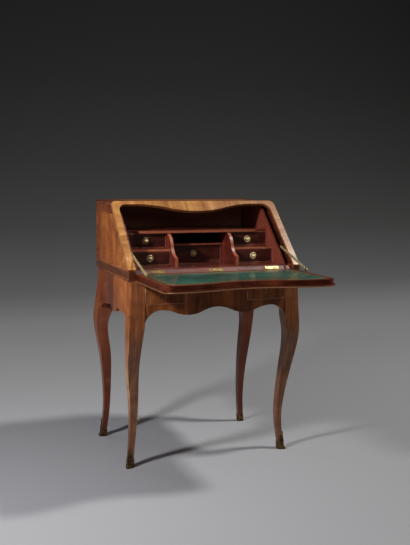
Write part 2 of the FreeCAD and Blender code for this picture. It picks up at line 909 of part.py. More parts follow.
for hand, side in SIDES:
    across = mirrored((divider_outer, lining_inner), side)
    gallery_drawer(f"lower_drawer_{hand}", across, d.lower_drawer_front, (bed_height, rail_z[0]))
    gallery_drawer(f"upper_drawer_{hand}", across, d.upper_drawer_front, (rail_z[1], shelf_height))
gallery_drawer(
    "centre_drawer", (-divider_inner, divider_inner), d.centre_drawer_front, (bed_height, pigeonhole_floor)
)

# Frieze drawers: a thick front and a long box that runs under the bed.
for hand, side in SIDES:
    name = f"frieze_drawer_{hand}"
    across = mirrored((block_half + d.drawer_gap, inner_post - d.drawer_gap), side)
    z = (apron_top + d.seat_gap, frieze_rail_low - d.drawer_gap)
    boards = [box(name + "_face", across, (ZERO, d.frieze_front), z)]
    boards += drawer_boards(name, across, (d.frieze_front, d.frieze_drawer_depth), z)
    keep(name, group(name, boards))

# Fall, drawn open: a core that fills the opening, with a lip all round on the
# face that is outermost when it is closed, and leather let into its inner face.
core_half = opening_half - d.fall_gap
core_outline = [
    (-core_half, -d.hinge_gap, None),
    (core_half, -d.hinge_gap, None),
    *free_edge(core_half, core_reach, d.opening_corner - d.fall_gap, -1),
]
lip_half = opening_half + d.lip_side_overlap
lip_outline = [
    (-lip_half, -d.lip_start, None),
    (lip_half, -d.lip_start, None),
    *free_edge(lip_half, lip_reach, d.opening_corner + d.lip_overlap, -1),
]
fall_y = front + hinge_y
core = place(pad("fall_core_board", "XY_Plane", core_outline, d.fall_core), 0, fall_y, fall_height - d.fall_core)
lip = place(pad("fall_lip_board", "XY_Plane", lip_outline, d.fall_lip), 0, fall_y, fall_height - fall_thickness)
leather_half = core_half - d.leather_side_border
leather_far = core_reach - d.leather_front_border
leather_outline = [
    (-leather_half, -d.leather_back_border, None),
    (leather_half, -d.leather_back_border, None),
    *free_edge(leather_half, leather_far, d.opening_corner, -1),
]
recess = place(
    pad("fall_recess", "XY_Plane", leather_outline, d.leather_depth), 0, fall_y, fall_height - d.leather_depth
)
keep("fall_panel", cut("fall_panel", fuse("fall_boards", [core, lip]), recess))
keep(
    "fall_leather",
    place(
        pad("fall_leather", "XY_Plane", leather_outline, d.leather_depth), 0, fall_y, fall_height - d.leather_depth
    ),
)


def upright_disc(name, radius, y, z):
    """A round disc about a vertical axis on the desk's middle."""
    piece = doc.addObject("Part::Cylinder", name)
    bind(piece, "Radius", radius)
    bind(piece, "Height", z[1] - z[0])
    return place(piece, 0, front + y, z[0])


plate_y = hinge_y - (lip_reach - d.rail_drop - d.escutcheon_edge)
plate_top = fall_height - fall_thickness
plate_z = (plate_top - d.escutcheon_thickness, plate_top)
keep(
    "fall_escutcheon",
    cut(
        "fall_escutcheon",
        upright_disc("escutcheon_disc", d.escutcheon_radius, plate_y, plate_z),
        upright_disc("escutcheon_keyhole", d.keyhole_radius, plate_y, plate_z),
    ),
)

# Butt hinges: leaves in the joint between fall and bed. The case's two outer
# knuckles hold the pin, and the fall's middle knuckle turns on it.
knuckle = d.hinge_length / 3
leaf_clear = d.knuckle_radius + d.seat_gap
case_leaves = []
fall_leaves = []
for hand, side in (("left", -1), ("middle", 0), ("right", 1)):
    at = d.hinge_offset * side
    ends = (at - d.hinge_length / 2, at + d.hinge_length / 2)
    turning = (at - knuckle / 2 + d.seat_gap, at + knuckle / 2 - d.seat_gap)
    leaf_z = (fall_height - d.leaf_height, fall_height - leaf_clear)
    web_z = (leaf_z[1], fall_height)
    case_y = (bed_front - d.leaf_thickness, bed_front)
    fall_face = hinge_y - d.hinge_gap
    moving_y = (fall_face, fall_face + d.leaf_thickness)
    name = f"case_leaf_{hand}"
    pieces = [box(name, ends, case_y, leaf_z)]
    for tag, reach in (("a", (ends[0], at - knuckle / 2)), ("b", (at + knuckle / 2, ends[1]))):
        pieces.append(rod(f"{name}_knuckle_{tag}", d.knuckle_radius, reach, hinge_y, fall_height))
        pieces.append(box(f"{name}_web_{tag}", reach, (case_y[0], hinge_y + d.knuckle_radius), web_z))
    pieces.append(rod(f"{name}_pin", d.hinge_pin_radius, ends, hinge_y, fall_height))
    case_leaves.append(fuse(f"{name}_whole", pieces))
    name = f"fall_leaf_{hand}"
    pieces = [
        box(name, ends, moving_y, leaf_z),
        rod(f"{name}_knuckle", d.knuckle_radius, turning, hinge_y, fall_height),
        box(f"{name}_web", turning, (hinge_y - d.knuckle_radius, moving_y[1]), web_z),
    ]
    bore = rod(f"{name}_bore", d.hinge_pin_radius + d.run_clearance, ends, hinge_y, fall_height)
    fall_leaves.append(cut(f"{name}_bored", fuse(f"{name}_whole", pieces), bore))
keep("case_hinge_leaves", group("case_hinge_leaves", case_leaves))
keep("fall_hinge_leaves", group("fall_hinge_leaves", fall_leaves))

# Stays: a bar turns on a bracket on the fall, and the pin at its upper end
# rides in a curved track on the side of the case. With the fall open the pin
# lies a part of the way up the slant, as far behind it as its path needs. The
# bar turns at a constant rate against the fall, from its tilt up at rest to its
# tilt down when shut.
bar_outer = opening_half - d.stay_inset
bar_inner = bar_outer - d.stay_thickness
foot_y = hinge_y - d.stay_foot
foot_z = fall_height + d.stay_lift
pin_run = slant_length * d.pin_along / (d.pin_along + d.pin_beyond)
TRACK_STEPS = 24


def pin_rest(setback):
    """Where the stay's pin lies with the fall open, in (depth, height)."""
    y = pin_run * slant_cos + setback * slant_sin
    z = waist_height + pin_run * slant_sin - setback * slant_cos
    return y, z


def pin_path(share, setback):
    """Where the pin is, in (depth, height), with the fall a share of the way shut."""
    rest_y, rest_z = pin_rest(setback)
    run = (rest_y - foot_y).value
    rise = (rest_z - foot_z).value
    length = math.hypot(run, rise)
    tilt_open = math.atan2(rise, run)
    tilt_shut = -math.asin(d.stay_shut_drop.value / length)
    tilt = tilt_open + (tilt_shut - tilt_open) * share
    turn = share * (math.pi - math.atan2(slant_rise.value, slant_run.value))
    y = hinge_y.value - d.stay_foot.value * math.cos(turn) + d.stay_lift.value * math.sin(turn)
    z = fall_height.value + d.stay_foot.value * math.sin(turn) + d.stay_lift.value * math.cos(turn)
    return y + length * math.cos(tilt), z + length * math.sin(tilt)


def path_clearance(setback):
    """The least distance of the pin's path behind the slant."""
    places = [pin_path(i / TRACK_STEPS, setback) for i in range(TRACK_STEPS + 1)]
    return min(y * slant_sin.value - (z - waist_height.value) * slant_cos.value for y, z in places)


slot_half = d.stay_pin_radius + d.slot_clearance
track_half = slot_half + d.track_border
pin_clear = d.stile_thickness + track_half + d.track_clearance
path_loss = 0.0
for _ in range(12):
    path_loss += pin_clear.value - path_clearance(pin_clear + path_loss)
pin_setback = pin_clear + path_loss
pin_y, pin_z = pin_rest(pin_setback)
stay_run = pin_y - foot_y
stay_rise = pin_z - foot_z
stay_length = root(stay_run * stay_run + stay_rise * stay_rise)
bar_half = d.stay_width / 2
bar_outline = [
    (ZERO, -bar_half, None),
    (stay_length, -bar_half, (bar_half, 1)),
    (stay_length + bar_half, ZERO, (bar_half, 1)),
    (stay_length, bar_half, None),
    (ZERO, bar_half, (bar_half, 1)),
    (-bar_half, ZERO, (bar_half, 1)),
]
stay_tilt = f"atan({stay_rise.text} / {stay_run.text})"
brackets = []
for hand, side in SIDES:
    name = f"stay_{hand}"
    across = mirrored((bar_inner, bar_outer), side)
    bar = pad(name + "_bar", "YZ_Plane", bar_outline, d.stay_thickness)
    bar.Placement = FreeCAD.Placement(FreeCAD.Vector(), FreeCAD.Rotation(FreeCAD.Vector(1, 0, 0), 10))
    place(bar, across[0], front + foot_y, foot_z)
    bar.setExpression("Placement.Rotation.Angle", stay_tilt)
    hole = rod(name + "_hole", d.pivot_radius + d.run_clearance, across, foot_y, foot_z)
    pin_reach = mirrored((bar_inner, side_inner - d.seat_gap), side)
    pin = rod(name + "_pin", d.stay_pin_radius, pin_reach, pin_y, pin_z)
    keep(name, fuse(name, [cut(name + "_bored", bar, hole), pin]))
    ear = mirrored((bar_inner - d.seat_gap - d.stay_thickness, bar_inner - d.seat_gap), side)
    ear_y = (foot_y - bar_half, foot_y + bar_half)
    pivot = mirrored((bar_inner - d.seat_gap - d.stay_thickness, bar_outer), side)
    brackets.append(
        fuse(
            f"stay_bracket_{hand}",
            [
                box(f"stay_bracket_{hand}_ear", ear, ear_y, (fall_height, foot_z + bar_half)),
                rod(f"stay_bracket_{hand}_pivot", d.pivot_radius, pivot, foot_y, foot_z),
            ],
        )
    )
keep("stay_brackets", group("stay_brackets", brackets))


def track_band(half_width, x):
    """A face along the pin's path, of an even width, with round ends, at a place in x."""
    small = 0.001
    sides = ([], [])
    for i in range(TRACK_STEPS + 1):
        share = i / TRACK_STEPS
        y, z = pin_path(share, pin_setback)
        y0, z0 = pin_path(share - small, pin_setback)
        y1, z1 = pin_path(share + small, pin_setback)
        along = FreeCAD.Vector(0, y1 - y0, z1 - z0).normalize()
        across = FreeCAD.Vector(0, -along.z, along.y)
        at = FreeCAD.Vector(x, y, z)
        sides[0].append(at + across * half_width)
        sides[1].append(at - across * half_width)
        if i == 0:
            head = at - along * half_width
        if i == TRACK_STEPS:
            tail = at + along * half_width
    upper = Part.BSplineCurve()
    upper.interpolate(sides[0])
    lower = Part.BSplineCurve()
    lower.interpolate(sides[1][::-1])
    edges = [
        upper.toShape(),
        Part.Arc(sides[0][-1], tail, sides[1][-1]).toShape(),
        lower.toShape(),
        Part.Arc(sides[1][0], head, sides[0][0]).toShape(),
    ]
    return Part.Face(Part.Wire(edges))


tracks = []
for hand, side in SIDES:
    low, high = mirrored((side_inner - d.track_thickness, side_inner), side)
    plate = track_band(track_half.value, low.value)
    slot = track_band(slot_half.value, low.value)
    ring = plate.cut(slot).extrude(FreeCAD.Vector(high.value - low.value, 0, 0))
    tracks.append(shaped(f"stay_track_{hand}", ring))
keep("stay_tracks", group("stay_tracks", tracks))

doc.recompute()
broken = [o.Name for o in doc.Objects if "Invalid" in o.State or "Error" in o.State]
if broken:
    raise RuntimeError("failed: " + ", ".join(broken))
for label, piece in NODES.items():
    if piece.Shape.isNull() or not piece.Shape.isValid() or not piece.Shape.Solids:
        raise RuntimeError("no valid solid: " + label)

os.makedirs("parts", exist_ok=True)
for label, piece in NODES.items():
    piece.Shape.exportStep(f"parts/{label}.step")
whole = FreeCAD.BoundBox()
for piece in NODES.values():
    whole.add(piece.Shape.BoundBox)
print(len(NODES), "nodes", whole)
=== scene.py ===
import math

import bmesh
import bpy
import numpy as np
from mathutils import Matrix, Vector


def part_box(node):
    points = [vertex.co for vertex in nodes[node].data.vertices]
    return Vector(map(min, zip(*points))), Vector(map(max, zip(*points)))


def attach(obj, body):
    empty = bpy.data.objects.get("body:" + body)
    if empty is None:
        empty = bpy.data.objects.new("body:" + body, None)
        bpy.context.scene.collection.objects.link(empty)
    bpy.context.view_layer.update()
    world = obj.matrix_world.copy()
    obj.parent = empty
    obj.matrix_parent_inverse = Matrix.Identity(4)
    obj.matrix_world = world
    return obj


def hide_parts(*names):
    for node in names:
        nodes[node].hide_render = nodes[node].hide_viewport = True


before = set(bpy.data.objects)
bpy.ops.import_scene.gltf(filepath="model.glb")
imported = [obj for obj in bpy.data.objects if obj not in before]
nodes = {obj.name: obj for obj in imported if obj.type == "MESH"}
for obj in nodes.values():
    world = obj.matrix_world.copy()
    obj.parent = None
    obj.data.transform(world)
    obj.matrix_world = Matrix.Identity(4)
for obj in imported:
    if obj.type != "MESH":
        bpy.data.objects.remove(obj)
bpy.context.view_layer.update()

# Legs: four solid cabriole legs, square in section, each with its post in one
# piece. They are stained fruitwood, veneered on the posts, waxed, and rubbed
# paler in patches; their outward faces are painted paler, a painted light side.
case_low, case_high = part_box("upper_side_right")
half_width = case_high.x
case_back = case_high.y
waist_top = case_low.z
case_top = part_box("top_board")[1].z
case_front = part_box("waist_rail_left")[0].y
waist_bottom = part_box("leg_front_left")[1].z


def linear(red, green, blue):
    """A colour given in screen values of 0 to 255, as the light values a shader takes."""
    screen = np.array([red, green, blue]) / 255
    light = np.where(screen <= 0.04045, screen / 12.92, ((screen + 0.055) / 1.055) ** 2.4)
    return (*(float(v) for v in light), 1.0)


class Socket:
    """One output of a shader node; arithmetic with it adds Math nodes."""

    def __init__(self, finish, out):
        self.finish = finish
        self.out = out

    def math(self, operation, *others):
        return self.finish.math(operation, self, *others)

    def __add__(self, other):
        return self.math("ADD", other)

    def __radd__(self, other):
        return self.math("ADD", other)

    def __sub__(self, other):
        return self.math("SUBTRACT", other)

    def __rsub__(self, other):
        return self.finish.math("SUBTRACT", other, self)

    def __mul__(self, other):
        return self.math("MULTIPLY", other)

    def __rmul__(self, other):
        return self.math("MULTIPLY", other)

    def __truediv__(self, other):
        return self.math("DIVIDE", other)

    def __pow__(self, other):
        return self.math("POWER", other)

    def __abs__(self):
        return self.math("ABSOLUTE")

    def rise(self, start, end):
        """0 below start, 1 above end, and a smooth step between them."""
        sockets = {"Value": self, "From Min": start, "From Max": end}
        settings = {"interpolation_type": "SMOOTHSTEP"}
        return self.finish.node("ShaderNodeMapRange", settings, sockets)

    def fall(self, start, end):
        """1 below start, 0 above end, and a smooth step between them."""
        return 1 - self.rise(start, end)

    def within(self, width):
        """1 where a distance is less than a width, with a step of 0.4 mm at the width."""
        return self.fall(width - 0.0002, width + 0.0002)

    def line(self, start, end):
        """A thin line where a distance is nearly nothing; it fades from start to end."""
        return abs(self).fall(start, end)


class Finish:
    """A material made of nodes round one Principled shader."""

    def __init__(self, name, **constants):
        self.material = bpy.data.materials.new(name)
        self.material.use_nodes = True
        self.tree = self.material.node_tree
        self.shader = self.tree.nodes["Principled BSDF"]
        for socket, value in constants.items():
            self.shader.inputs[socket.replace("_", " ")].default_value = value
        place = self.tree.nodes.new("ShaderNodeTexCoord").outputs["Object"]
        self.place = Socket(self, place)
        parts = self.tree.nodes.new("ShaderNodeSeparateXYZ")
        self.tree.links.new(place, parts.inputs[0])
        self.x, self.y, self.z = (Socket(self, out) for out in parts.outputs)

    def node(self, kind, settings, sockets, out=0):
        """Any node: its settings first, then the values or links of its sockets."""
        made = self.tree.nodes.new(kind)
        for key, value in settings.items():
            if key == "stops":
                for i, (position, colour) in enumerate(value):
                    ramp = made.color_ramp.elements
                    stop = ramp[i] if i < 2 else ramp.new(position)
                    stop.position = position
                    stop.color = colour
            else:
                setattr(made, key, value)
        for key, value in sockets.items():
            if isinstance(value, Socket):
                self.tree.links.new(value.out, made.inputs[key])
            else:
                made.inputs[key].default_value = value
        return Socket(self, made.outputs[out])

    def math(self, operation, *values):
        """One Math node, with values or links as its operands."""
        return self.node("ShaderNodeMath", {"operation": operation}, dict(enumerate(values)))

    def least(self, first, *others):
        """The least of several values."""
        for other in others:
            first = self.math("MINIMUM", first, other)
        return first

    def most(self, first, *others):
        """The greatest of several values."""
        for other in others:
            first = self.math("MAXIMUM", first, other)
        return first

    def vector(self, x, y, z):
        return self.node("ShaderNodeCombineXYZ", {}, {0: x, 1: y, 2: z})

    def grain(self, axis):
        """The places along, across and into a grain that runs along one axis."""
        rest = [name for name in "xyz" if name != axis]
        return [getattr(self, name) for name in (axis, *rest)]

    def facing_x(self):
        """How far a face looks to the right, from -1 to 1."""
        normal = self.node("ShaderNodeNewGeometry", {}, {}, out="True Normal")
        return self.node("ShaderNodeSeparateXYZ", {}, {0: normal})

    def noise(self, vector, scale=1.0, detail=2.0, rough=0.5):
        sockets = {"Vector": vector, "Scale": scale, "Detail": detail, "Roughness": rough}
        return self.node("ShaderNodeTexNoise", {}, sockets)

    def choose(self, mask, if_zero, if_one):
        """A number that goes from one value to another with a mask."""
        return self.node("ShaderNodeMix", {}, {0: mask, 2: if_zero, 3: if_one})

    def tint(self, mask, if_zero, if_one):
        """A colour that goes from one to another with a mask."""
        return self.node("ShaderNodeMix", {"data_type": "RGBA"}, {0: mask, 6: if_zero, 7: if_one}, out=2)

    def ramp(self, value, *stops):
        """A colour read from stops, each a position and its colour."""
        return self.node("ShaderNodeValToRGB", {"stops": stops}, {0: value})

    def shades(self, tone, palette, first=0.1, last=0.9):
        """A wood's or skin's dark, middle and pale shades, spread along its tone."""
        dark, middle, pale = palette
        return self.ramp(tone, (first, dark), (0.5, middle), (last, pale))

    def give(self, **links):
        """Links values to the shader's sockets, whose spaces are written as underscores."""
        for socket, value in links.items():
            self.tree.links.new(value.out, self.shader.inputs[socket.replace("_", " ")])

    def relief(self, height, depth):
        """Bump from a height of 0 to 1 that stands for a depth in metres."""
        sockets = {"Height": height, "Distance": depth, "Strength": 1.0}
        self.give(Normal=self.node("ShaderNodeBump", {}, sockets))

    def onto(self, *pieces):
        """Makes this the one material of each piece."""
        for piece in pieces:
            piece.data.materials.clear()
            piece.data.materials.append(self.material)


def wood(finish, along, across, deep, ring=55, drift=0.012):
    """Wood figure from a place along, across and into the grain, in metres.

    The tone is the sum of slow drift, of broad shimmer where the grain rolls, of
    streaks a centimetre or two wide, of growth rings, which are a sine of the place
    across once drift has bent it, and of fibres, which are noise drawn out along the
    grain. The pores are short dark dashes where fine noise is highest. What multiplies
    a place is a count of waves in a metre.
    """
    slow = finish.noise(finish.vector(along * 3.0, across * 14.0, deep * 14.0), detail=3.0)
    bent = across + (slow - 0.5) * (drift * 6.0)
    shimmer = finish.noise(finish.vector(along * 34.0, bent * 9.0, deep * 9.0), detail=2.0)
    streak = finish.noise(finish.vector(along * 4.5, bent * 46.0, deep * 46.0), detail=3.0, rough=0.6)
    rings = finish.math("SINE", bent * (ring * 2 * math.pi))
    fibre = finish.noise(finish.vector(along * 16.0, bent * 330.0, deep * 330.0), detail=2.0)
    dashes = finish.noise(finish.vector(along * 70.0, across * 1100.0, deep * 1100.0), detail=1.0)
    tone = 0.5 + (slow - 0.5) * 1.0 + (shimmer - 0.5) * 0.5 + (streak - 0.5) * 1.1
    tone = tone + rings * 0.06 + (fibre - 0.5) * 0.40
    pores = dashes.rise(0.60, 0.72)
    return tone, pores, fibre


def polish(finish, colour, pores, fibre, gloss=0.30, wear=None):
    """French polish: pores darken the colour, and smears, pores and wear dull it."""
    colour = finish.tint(pores * 0.35, colour, linear(34, 17, 10))
    smear = finish.noise(finish.place, scale=9.0, detail=3.0)
    rough = gloss + (smear - 0.5) * 0.22 + pores * 0.18
    if wear is not None:
        rough = rough + wear * 0.10
    finish.give(Base_Color=colour, Roughness=rough)
    finish.relief(fibre * 0.5 - pores * 0.8, 0.00012)


side_shades = (linear(100, 46, 16), linear(150, 82, 35), linear(194, 126, 62))
leg_shades = (linear(86, 51, 31), linear(125, 80, 54), linear(156, 110, 77))
post_shades = (linear(100, 55, 30), linear(140, 83, 48), linear(172, 114, 70))
lit_side_tan_shades = (linear(116, 72, 44), linear(160, 110, 72), linear(192, 144, 102))
rear_red, worn_leg, foot_dark = linear(100, 36, 20), linear(176, 124, 82), linear(58, 33, 22)
veneer_from, veneer_to, gold_to = 0.42, 0.58, 0.52
lit_side_from, lit_side_to = 0.08, 0.30
foot_from, foot_to = 0.06, 0.16


def leg_finish(name, seed, redness, outward):
    """Upright grain; posts are golden veneer, the leg below is darker solid wood.

    Faces that look outward, to the left or to the right, stay golden or tan far down
    the leg: painted light, as if those sides were lit. The wood is rubbed paler in
    patches of noise, and darkens at the foot.
    """
    leg = Finish(name, Coat_Weight=0.05, Coat_Roughness=0.2, Specular_IOR_Level=0.25)
    tone, pores, fibre = wood(leg, leg.z, leg.x + seed, leg.y, ring=70, drift=0.006)
    wander = leg.noise(leg.place, scale=22.0, detail=3.0)
    veneered = (leg.z + (wander - 0.5) * 0.10).rise(veneer_from, veneer_to)
    colour = leg.tint(veneered, leg.shades(tone, leg_shades, first=0.15), leg.shades(tone, post_shades))
    golden = leg.z.rise(veneer_from, gold_to)
    outer = leg.tint(golden, leg.shades(tone, lit_side_tan_shades), leg.shades(tone, side_shades))
    # Outward faces are painted paler down the leg: painted light on the lit sides.
    painted_lit_side = (leg.facing_x() * outward).rise(0.5, 0.8)
    colour = leg.tint(painted_lit_side * leg.z.rise(lit_side_from, lit_side_to), colour, outer)
    colour = leg.tint(redness, colour, rear_red)
    rubbed = wander.rise(0.56, 0.74)
    colour = leg.tint(rubbed * 0.16, colour, worn_leg)
    colour = leg.tint(leg.z.fall(foot_from, foot_to) * 0.4, colour, foot_dark)
    polish(leg, colour, pores, fibre, gloss=0.32, wear=rubbed)
    return leg


for end, seed, redness in (("front", 0.0, 0.0), ("rear", 2.9, 0.68)):
    leg_finish(f"leg_wood_{end}_left", seed, redness, -1).onto(nodes[f"leg_{end}_left"])
    leg_finish(f"leg_wood_{end}_right", seed + 1.3, redness, 1).onto(nodes[f"leg_{end}_right"])

# Sabots: cast and chased gilt bronze shoes pushed on over the feet. Each is a
# leaf that runs up the outer arris to a point, with a rib and veins, and turns
# out below in a small scrolled toe.
sabot_side_height, sabot_point, point_power = 0.029, 0.042, 1.15
sabot_wall, sabot_lip, corner_power = 0.0016, 0.0010, 2 / 14
lobe_height, lobe_count = 0.0016, 6
rib_height, rib_angle = 0.0012, 0.10
vein_height, vein_count, vein_pitch = 0.0003, 9, 190
collar_height, collar_level, collar_width = 0.0006, 0.020, 0.003
roll_height, roll_level, roll_width = 0.0016, 0.006, 0.005
toe_reach, toe_height, toe_power = 0.010, 0.018, 1.6
section_height = 0.1
ring_points, ring_count = 96, 40


def surface(name, *sheets, wrap=True, crease=40):
    """One mesh from grids of points, each (rows, columns, 3); wrap closes the columns."""
    points, faces, first = [], [], 0
    for sheet in sheets:
        rows, columns = sheet.shape[:2]
        index = first + np.arange(rows * columns).reshape(rows, columns)
        after = np.roll(index, -1, axis=1)
        if not wrap:
            index, after = index[:, :-1], index[:, 1:]
        quads = np.stack([index[:-1], after[:-1], after[1:], index[1:]], axis=-1)
        faces.append(quads.reshape(-1, 4))
        points.append(sheet.reshape(-1, 3))
        first += rows * columns
    mesh = bpy.data.meshes.new(name)
    mesh.from_pydata(np.concatenate(points), [], np.concatenate(faces).tolist())
    work = bmesh.new()
    work.from_mesh(mesh)
    bmesh.ops.remove_doubles(work, verts=work.verts, dist=1e-6)
    bmesh.ops.recalc_face_normals(work, faces=work.faces)
    work.to_mesh(mesh)
    work.free()
    mesh.shade_smooth()
    mesh.set_sharp_from_angle(angle=math.radians(crease))
    piece = bpy.data.objects.new(name, mesh)
    bpy.context.scene.collection.objects.link(piece)
    return piece


def foot_section(leg):
    """The leg's lower end as its low x, high x, low y and high y, each as heights and values."""
    points = np.empty(len(leg.data.vertices) * 3)
    leg.data.vertices.foreach_get("co", points)
    points = points.reshape(-1, 3)
    points = points[points[:, 2] < section_height]
    points = points[np.argsort(points[:, 2])]
    sole = points[points[:, 2] < points[0, 2] + 0.0001]
    middle = (sole.min(axis=0) + sole.max(axis=0)) / 2
    edges = []
    for axis in (0, 1):
        for side in (points[:, axis] < middle[axis], points[:, axis] > middle[axis]):
            edges.append((points[side, 2], points[side, axis]))
    return edges


def sabot(leg, out_x, out_y):
    """A leaf-shaped shoe: rounded squares round the foot, stacked up to a top edge.

    A rounded square is a circle whose cosine and sine are raised to a small power. The
    top edge is lowest on the inner sides and rises along both outer sides, nearly
    straight, to a point on the outer arris. Rib, collar and roll are bell curves and
    the veins are a cosine; all stand off the wall. The toe pushes the lowest rings out
    along the arris.
    """
    angle = np.linspace(0, 2 * math.pi, ring_points, endpoint=False)
    arris = math.atan2(out_y, out_x)
    lean = np.cos(angle - arris)
    swing = np.arctan2(np.sin(angle - arris), lean)
    side_x = np.sign(np.cos(angle)) * np.abs(np.cos(angle)) ** corner_power
    side_y = np.sign(np.sin(angle)) * np.abs(np.sin(angle)) ** corner_power
    from_arris = np.maximum(1 - side_x * np.sign(out_x), 1 - side_y * np.sign(out_y)) / 2
    top = sabot_side_height + sabot_point * (1 - from_arris) ** point_power
    top = top + lobe_height * np.cos(lobe_count * swing)
    share = np.linspace(0, 1, ring_count)[:, None]
    z = share * top[None, :]
    low_x, high_x, low_y, high_y = (np.interp(z, *edge) for edge in foot_section(leg))
    rib = rib_height * np.exp(-(swing / rib_angle) ** 2) * np.clip(share * 4, 0, 1)
    veins = vein_height * np.cos(vein_count * np.abs(swing) - vein_pitch * z)
    collar = collar_height * np.exp(-((z - collar_level) / collar_width) ** 2)
    wall = sabot_wall + rib + veins + collar
    kick = np.clip(1 - z / toe_height, 0, 1) ** toe_power * toe_reach * np.clip(lean + 0.15, 0, 1)
    roll = roll_height * np.exp(-((z - roll_level) / roll_width) ** 2) * np.clip(lean, 0, 1)
    x = (low_x + high_x) / 2 + side_x * ((high_x - low_x) / 2 + wall) + out_x * (kick + roll)
    y = (low_y + high_y) / 2 + side_y * ((high_y - low_y) / 2 + wall) + out_y * (kick + roll)
    walls = np.stack([x, y, z], axis=-1)
    middle = walls[0].mean(axis=0)
    sole = np.stack([middle + (walls[0] - middle) * k for k in (0.0, 0.6, 0.93)])
    sole[:, :, 2] = 0.0
    rim = walls[-1]
    rim_middle = np.stack([(low_x + high_x)[-1] / 2, (low_y + high_y)[-1] / 2, rim[:, 2]], axis=-1)
    lip = rim_middle + (rim - rim_middle) * np.array([0.80, 0.80, 1.0])
    lip[:, 2] -= sabot_lip
    return np.concatenate([sole, walls, lip[None]])


corner_lean = math.sqrt(0.5)
sabots = surface(
    "bronze_sabots",
    sabot(nodes["leg_front_left"], -corner_lean, -corner_lean),
    sabot(nodes["leg_front_right"], corner_lean, -corner_lean),
    sabot(nodes["leg_rear_left"], -corner_lean, corner_lean),
    sabot(nodes["leg_rear_right"], corner_lean, corner_lean),
    crease=60,
)


def metal_finish(name, bright, dull, gloss=0.30, age=0.5, groove=None, metallic=1.0):
    """Old brass or bronze: bright where rubbed, brown and matt where dirt has settled.

    A groove is a ring about an axis to the front: its x, its z and its two radii.
    """
    metal = Finish(name, Metallic=metallic)
    dirt = metal.noise(metal.place, scale=85.0, detail=4.0, rough=0.6)
    fine = metal.noise(metal.place, scale=700.0, detail=2.0)
    stain = (dirt + (fine - 0.5) * 0.25).rise(age - 0.14, age + 0.22)
    if groove is not None:
        x, z, inner, outer = groove
        radius = metal.math("SQRT", (metal.x - x) ** 2 + (metal.z - z) ** 2)
        ring = radius.rise(inner - 0.0004, inner + 0.0002) * radius.fall(outer - 0.0002, outer + 0.0004)
        stain = metal.most(stain, ring)
    metal.give(
        Base_Color=metal.tint(stain, bright, dull),
        Roughness=gloss + stain * 0.22 + (fine - 0.5) * 0.10,
    )
    metal.relief(fine, 0.00005)
    return metal


metal_finish("gilt_bronze", linear(150, 118, 78), linear(74, 55, 38), gloss=0.40, age=0.40).onto(sabots)
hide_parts("sabots")
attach(sabots, "case")

# Lower carcass: side panels veneered in two matched leaves, the rear one redder,
# and a front of apron, rail and centre block veneered to match. The back, its
# apron, the bottom and the well are plain oak.
band_shades = (linear(70, 28, 12), linear(108, 49, 22), linear(144, 78, 40))
string_colour = linear(54, 28, 16)
case_middle = (case_front + case_back) / 2


def matched_field(panel, middle, slope, seed):
    """Two leaves of one veneer laid like an open book: the grain runs up and away from the join."""
    offset = abs(panel.y - middle)
    return panel.z + offset * slope, offset + seed


lower_side = Finish("lower_side_veneer", Coat_Weight=0.14, Coat_Roughness=0.16, Specular_IOR_Level=0.35)
along, across = matched_field(lower_side, case_middle, 0.35, 0.7)
tone, pores, fibre = wood(lower_side, along, across, lower_side.x, ring=48)
gold_leaf = lower_side.shades(tone, side_shades)
red_leaf = lower_side.shades(tone, band_shades)
field = lower_side.tint(lower_side.y.rise(case_middle - 0.001, case_middle + 0.001), gold_leaf, red_leaf)
join = (lower_side.y - case_middle).line(0.0003, 0.0008)
field = lower_side.tint(join * 0.6, field, string_colour)
polish(lower_side, field, pores, fibre)
lower_side.onto(nodes["lower_side_left"], nodes["lower_side_right"])

oak_shades = (linear(88, 58, 34), linear(140, 100, 62), linear(174, 134, 88))
old_oak_shades = (linear(60, 40, 26), linear(98, 68, 44), linear(126, 92, 62))
apron_shades = (linear(77, 37, 14), linear(120, 65, 30), linear(154, 95, 52))


def front_veneer(name, seed, box_y=None):
    """Figured veneer with its grain upright; behind box_y, where a drawer's box begins, bare oak."""
    front = Finish(name, Coat_Weight=0.05, Coat_Roughness=0.16, Specular_IOR_Level=0.2)
    along = front.z + abs(front.x) * 0.22
    tone, pores, fibre = wood(front, along, front.x + seed, front.y, ring=40, drift=0.016)
    colour = front.shades(tone, apron_shades, last=0.92)
    if box_y is not None:
        colour = front.tint(front.y.rise(box_y, box_y + 0.0004), colour, front.shades(tone, oak_shades))
    polish(front, colour, pores, fibre)
    return front


front_veneer("apron_veneer", 0.0).onto(nodes["front_apron"], nodes["frieze_centre_block"])
rail_band = Finish("frieze_rail_veneer", Coat_Weight=0.14, Coat_Roughness=0.16, Specular_IOR_Level=0.35)
tone, pores, fibre = wood(rail_band, rail_band.x, rail_band.z, rail_band.y)
polish(rail_band, rail_band.shades(tone, band_shades), pores, fibre)
rail_band.onto(nodes["frieze_rail"])


def plain_wood(name, palette, axis, gloss=0.55, seed=0.0, stained_y=None):
    """Plain boards, oiled or bare, with their grain along one axis; stained in front of stained_y."""
    board = Finish(name)
    along, across, deep = board.grain(axis)
    tone, pores, fibre = wood(board, along, across + seed, deep, ring=60)
    colour = board.shades(tone, palette)
    if stained_y is not None:
        stained = board.y.fall(stained_y, stained_y + 0.0004) * 0.85
        colour = board.tint(stained, colour, linear(168, 104, 72))
    polish(board, colour, pores, fibre, gloss=gloss)
    return board


plain_wood("back_apron_oak", old_oak_shades, "x", gloss=0.62).onto(nodes["back_apron"])
inner_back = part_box("back_panel")[0].y + 0.0005
plain_wood("back_oak", old_oak_shades, "x", gloss=0.62, stained_y=inner_back).onto(nodes["back_panel"])
bottom_oak = plain_wood("bottom_oak", old_oak_shades, "y", gloss=0.65, seed=2.0)
bottom_oak.onto(nodes["bottom_board"], nodes["bed_channel"])
plain_wood("well_oak", oak_shades, "z", gloss=0.62, seed=1.0).onto(nodes["well_box"])
